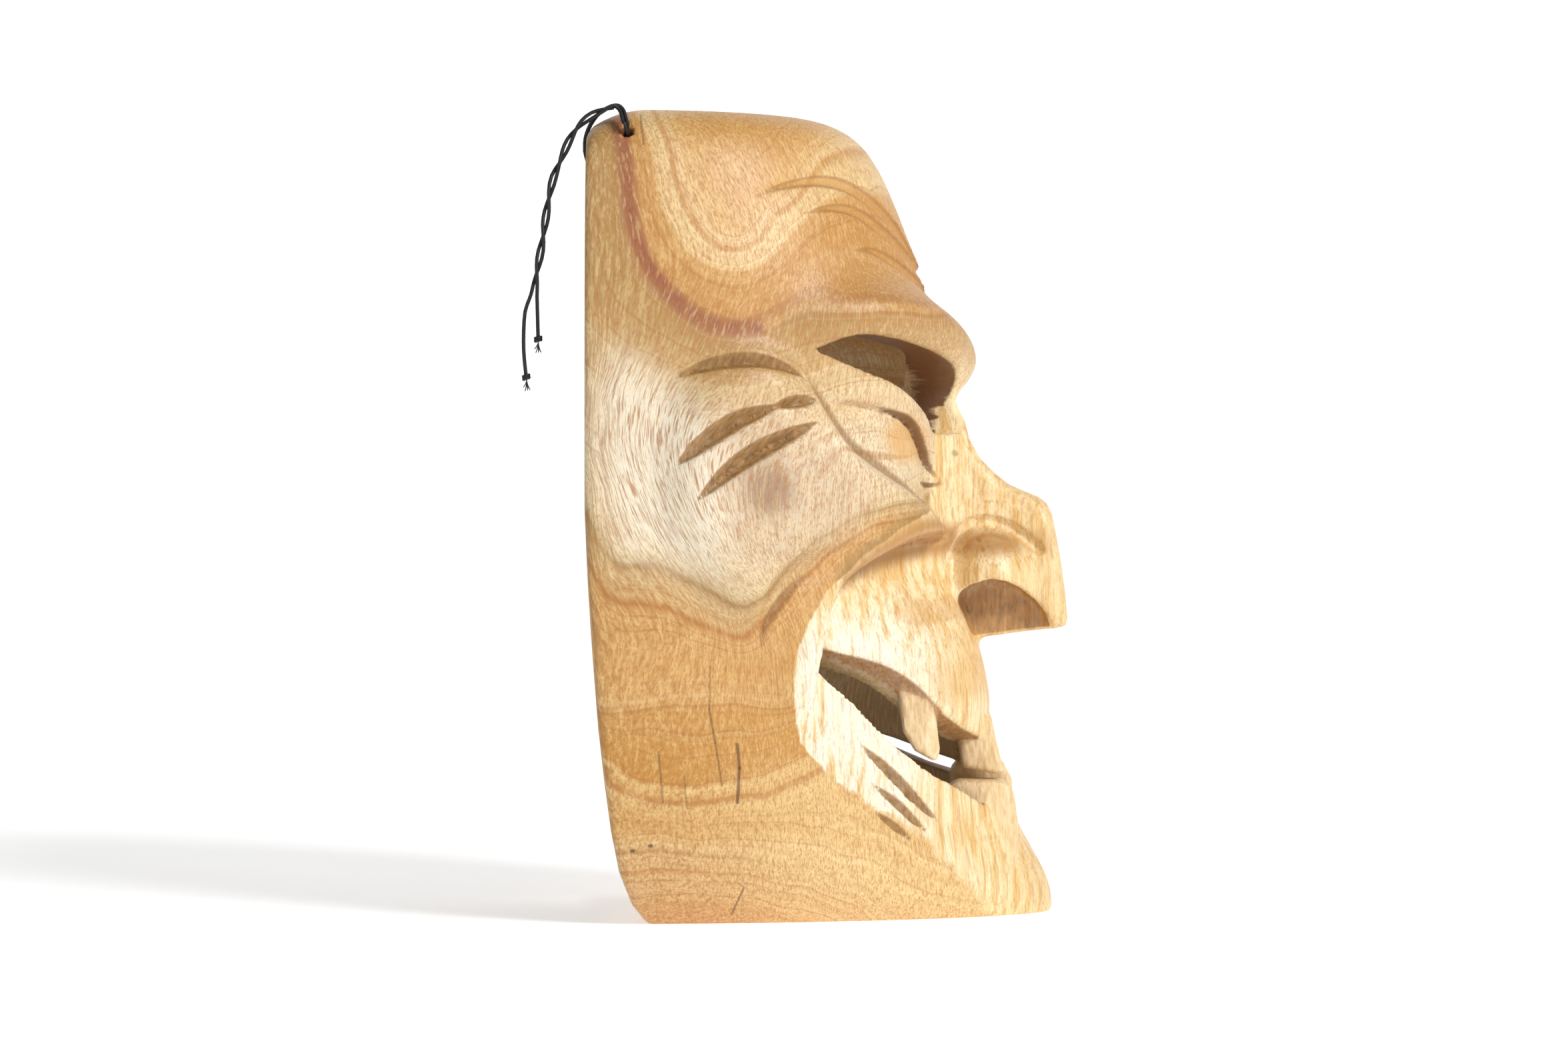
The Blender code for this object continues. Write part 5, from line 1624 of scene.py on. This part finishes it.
class MASK_OT_cord(bpy.types.Operator):
    """Makes the doubled hanging cord: its hitch through the bore and its two tails with their knots"""

    bl_idname = "wooden_mask.cord"
    bl_label = "Hanging Cord"

    def execute(self, context):
        settings = context.scene.mask_cord
        black = waxed_cord()
        loop, out, tails = cord_paths()
        hitch = hitch_piece(loop, out, black)
        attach(hitch, "root")
        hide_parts("cord_hitch")
        for name, path in zip(("cord_long", "cord_short"), tails):
            tail_name = name.replace("cord_", "cord_tail_")
            tail = twisted_cord(tail_name, path, CORD_DIAMETER, black, lay=settings.lay)
            knot = end_knot(name.replace("cord_", "cord_knot_"), path, black)
            for piece in (tail, knot):
                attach(piece, "root")
            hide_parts(name)
            with_pieces = [knot, hitch] if name == "cord_long" else [knot]
            round(length_of(path), 4)
        return {"FINISHED"}


def hitch_piece(loop, out, material):
    """The doubled cord: two closed twisted cords side by side on the wood."""
    along = np.roll(loop, -1, axis=0) - np.roll(loop, 1, axis=0)
    aside = np.cross(along, out)
    for _ in range(6):
        aside /= np.linalg.norm(aside, axis=1)[:, None]
        aside = aside + np.roll(aside, 1, axis=0) + np.roll(aside, -1, axis=0)
    aside /= np.linalg.norm(aside, axis=1)[:, None]
    parts = []
    for side in (-1, 1):
        run = loop + side * 0.5 * CORD_DIAMETER * aside
        parts.append(twisted_cord("hitch_strand", run, CORD_DIAMETER, material, closed=True))
    return joined_pieces("cord_hitch_bundle", parts)


def joined_pieces(name, parts):
    """Several mesh pieces as one."""
    shape = bmesh.new()
    for part in parts:
        shape.from_mesh(part.data)
    mesh = parts[0].data.copy()
    shape.to_mesh(mesh)
    shape.free()
    mesh.name = name
    mesh.shade_smooth()
    made = bpy.data.objects.new(name, mesh)
    bpy.context.scene.collection.objects.link(made)
    for part in parts:
        bpy.data.objects.remove(part)
    return made


# The knot near a tail's end and the frayed tip below it
KNOT_TURNS = 1.6
KNOT_LENGTH = 0.0012
KNOT_RADIUS = 0.00085
FRAYED_ENDS = 9
FRAY_SPREAD = 0.28
FRAY_THICKNESS = 0.0003


def end_knot(name, path, material):
    """A small overhand knot near the end of a tail, and the frayed tip below it."""
    end = path[-1]
    along = path[-1] - path[-3]
    along /= np.linalg.norm(along)
    aside = np.cross(along, (1.0, 0.0, 0.0))
    aside /= np.linalg.norm(aside)
    out = np.cross(along, aside)
    turns = np.linspace(0, 2 * math.pi * KNOT_TURNS, 28)
    wound = [
        end + along * (KNOT_LENGTH * t / turns[-1] - KNOT_LENGTH)
        + KNOT_RADIUS * (aside * math.cos(t) + out * math.sin(t))
        for t in turns
    ]
    parts = [twisted_cord("knot_turns", np.array(wound), CORD_DIAMETER * 0.9, material, step=0.0003)]
    rng = np.random.default_rng(7)
    for _ in range(FRAYED_ENDS):
        spread = aside * rng.normal(0, FRAY_SPREAD) + out * rng.normal(0, FRAY_SPREAD)
        reach = rng.uniform(0.0018, 0.0036)
        frayed = [end + (along + spread * s) * reach * s for s in np.linspace(0, 1, 6)]
        parts.append(twisted_cord("fray", np.array(frayed), FRAY_THICKNESS, material, lay=0.002, step=0.0006))
    return joined_pieces(name, parts)


class MASK_OT_wood(bpy.types.Operator):
    """Makes the carved wood of the mask and its varnished finish"""

    bl_idname = "wooden_mask.wood"
    bl_label = "Carved Wood"

    def execute(self, context):
        mask = carved_mask(varnished_wood(context.scene.mask_wood))
        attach(mask, "root")
        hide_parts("mask")
        return {"FINISHED"}


class MASK_PT_panel(bpy.types.Panel):
    """Lists the steps that make the mask, each under its settings"""

    bl_idname = "MASK_PT_panel"
    bl_label = "Carved Wooden Mask"
    bl_space_type = "VIEW_3D"
    bl_region_type = "UI"
    bl_category = "Mask"

    def draw(self, context):
        for operator, (name, kind) in zip(OPERATORS, SETTINGS.items()):
            settings = getattr(context.scene, name)
            for value in kind.__annotations__:
                self.layout.prop(settings, value)
            self.layout.operator(operator.bl_idname)


OPERATORS = (MASK_OT_stage, MASK_OT_cord, MASK_OT_wood)
SETTINGS = {"mask_stage": StageSettings, "mask_cord": CordSettings, "mask_wood": WoodSettings}
CLASSES = (*SETTINGS.values(), *OPERATORS, MASK_PT_panel)


def register():
    for kind in CLASSES:
        bpy.utils.register_class(kind)
    for name, kind in SETTINGS.items():
        setattr(bpy.types.Scene, name, PointerProperty(type=kind))


def unregister():
    for name in SETTINGS:
        delattr(bpy.types.Scene, name)
    for kind in reversed(CLASSES):
        bpy.utils.unregister_class(kind)


def main():
    register()
    bpy.ops.wooden_mask.stage()
    bpy.ops.wooden_mask.cord()
    bpy.ops.wooden_mask.wood()


if __name__ == "__main__":
    main()
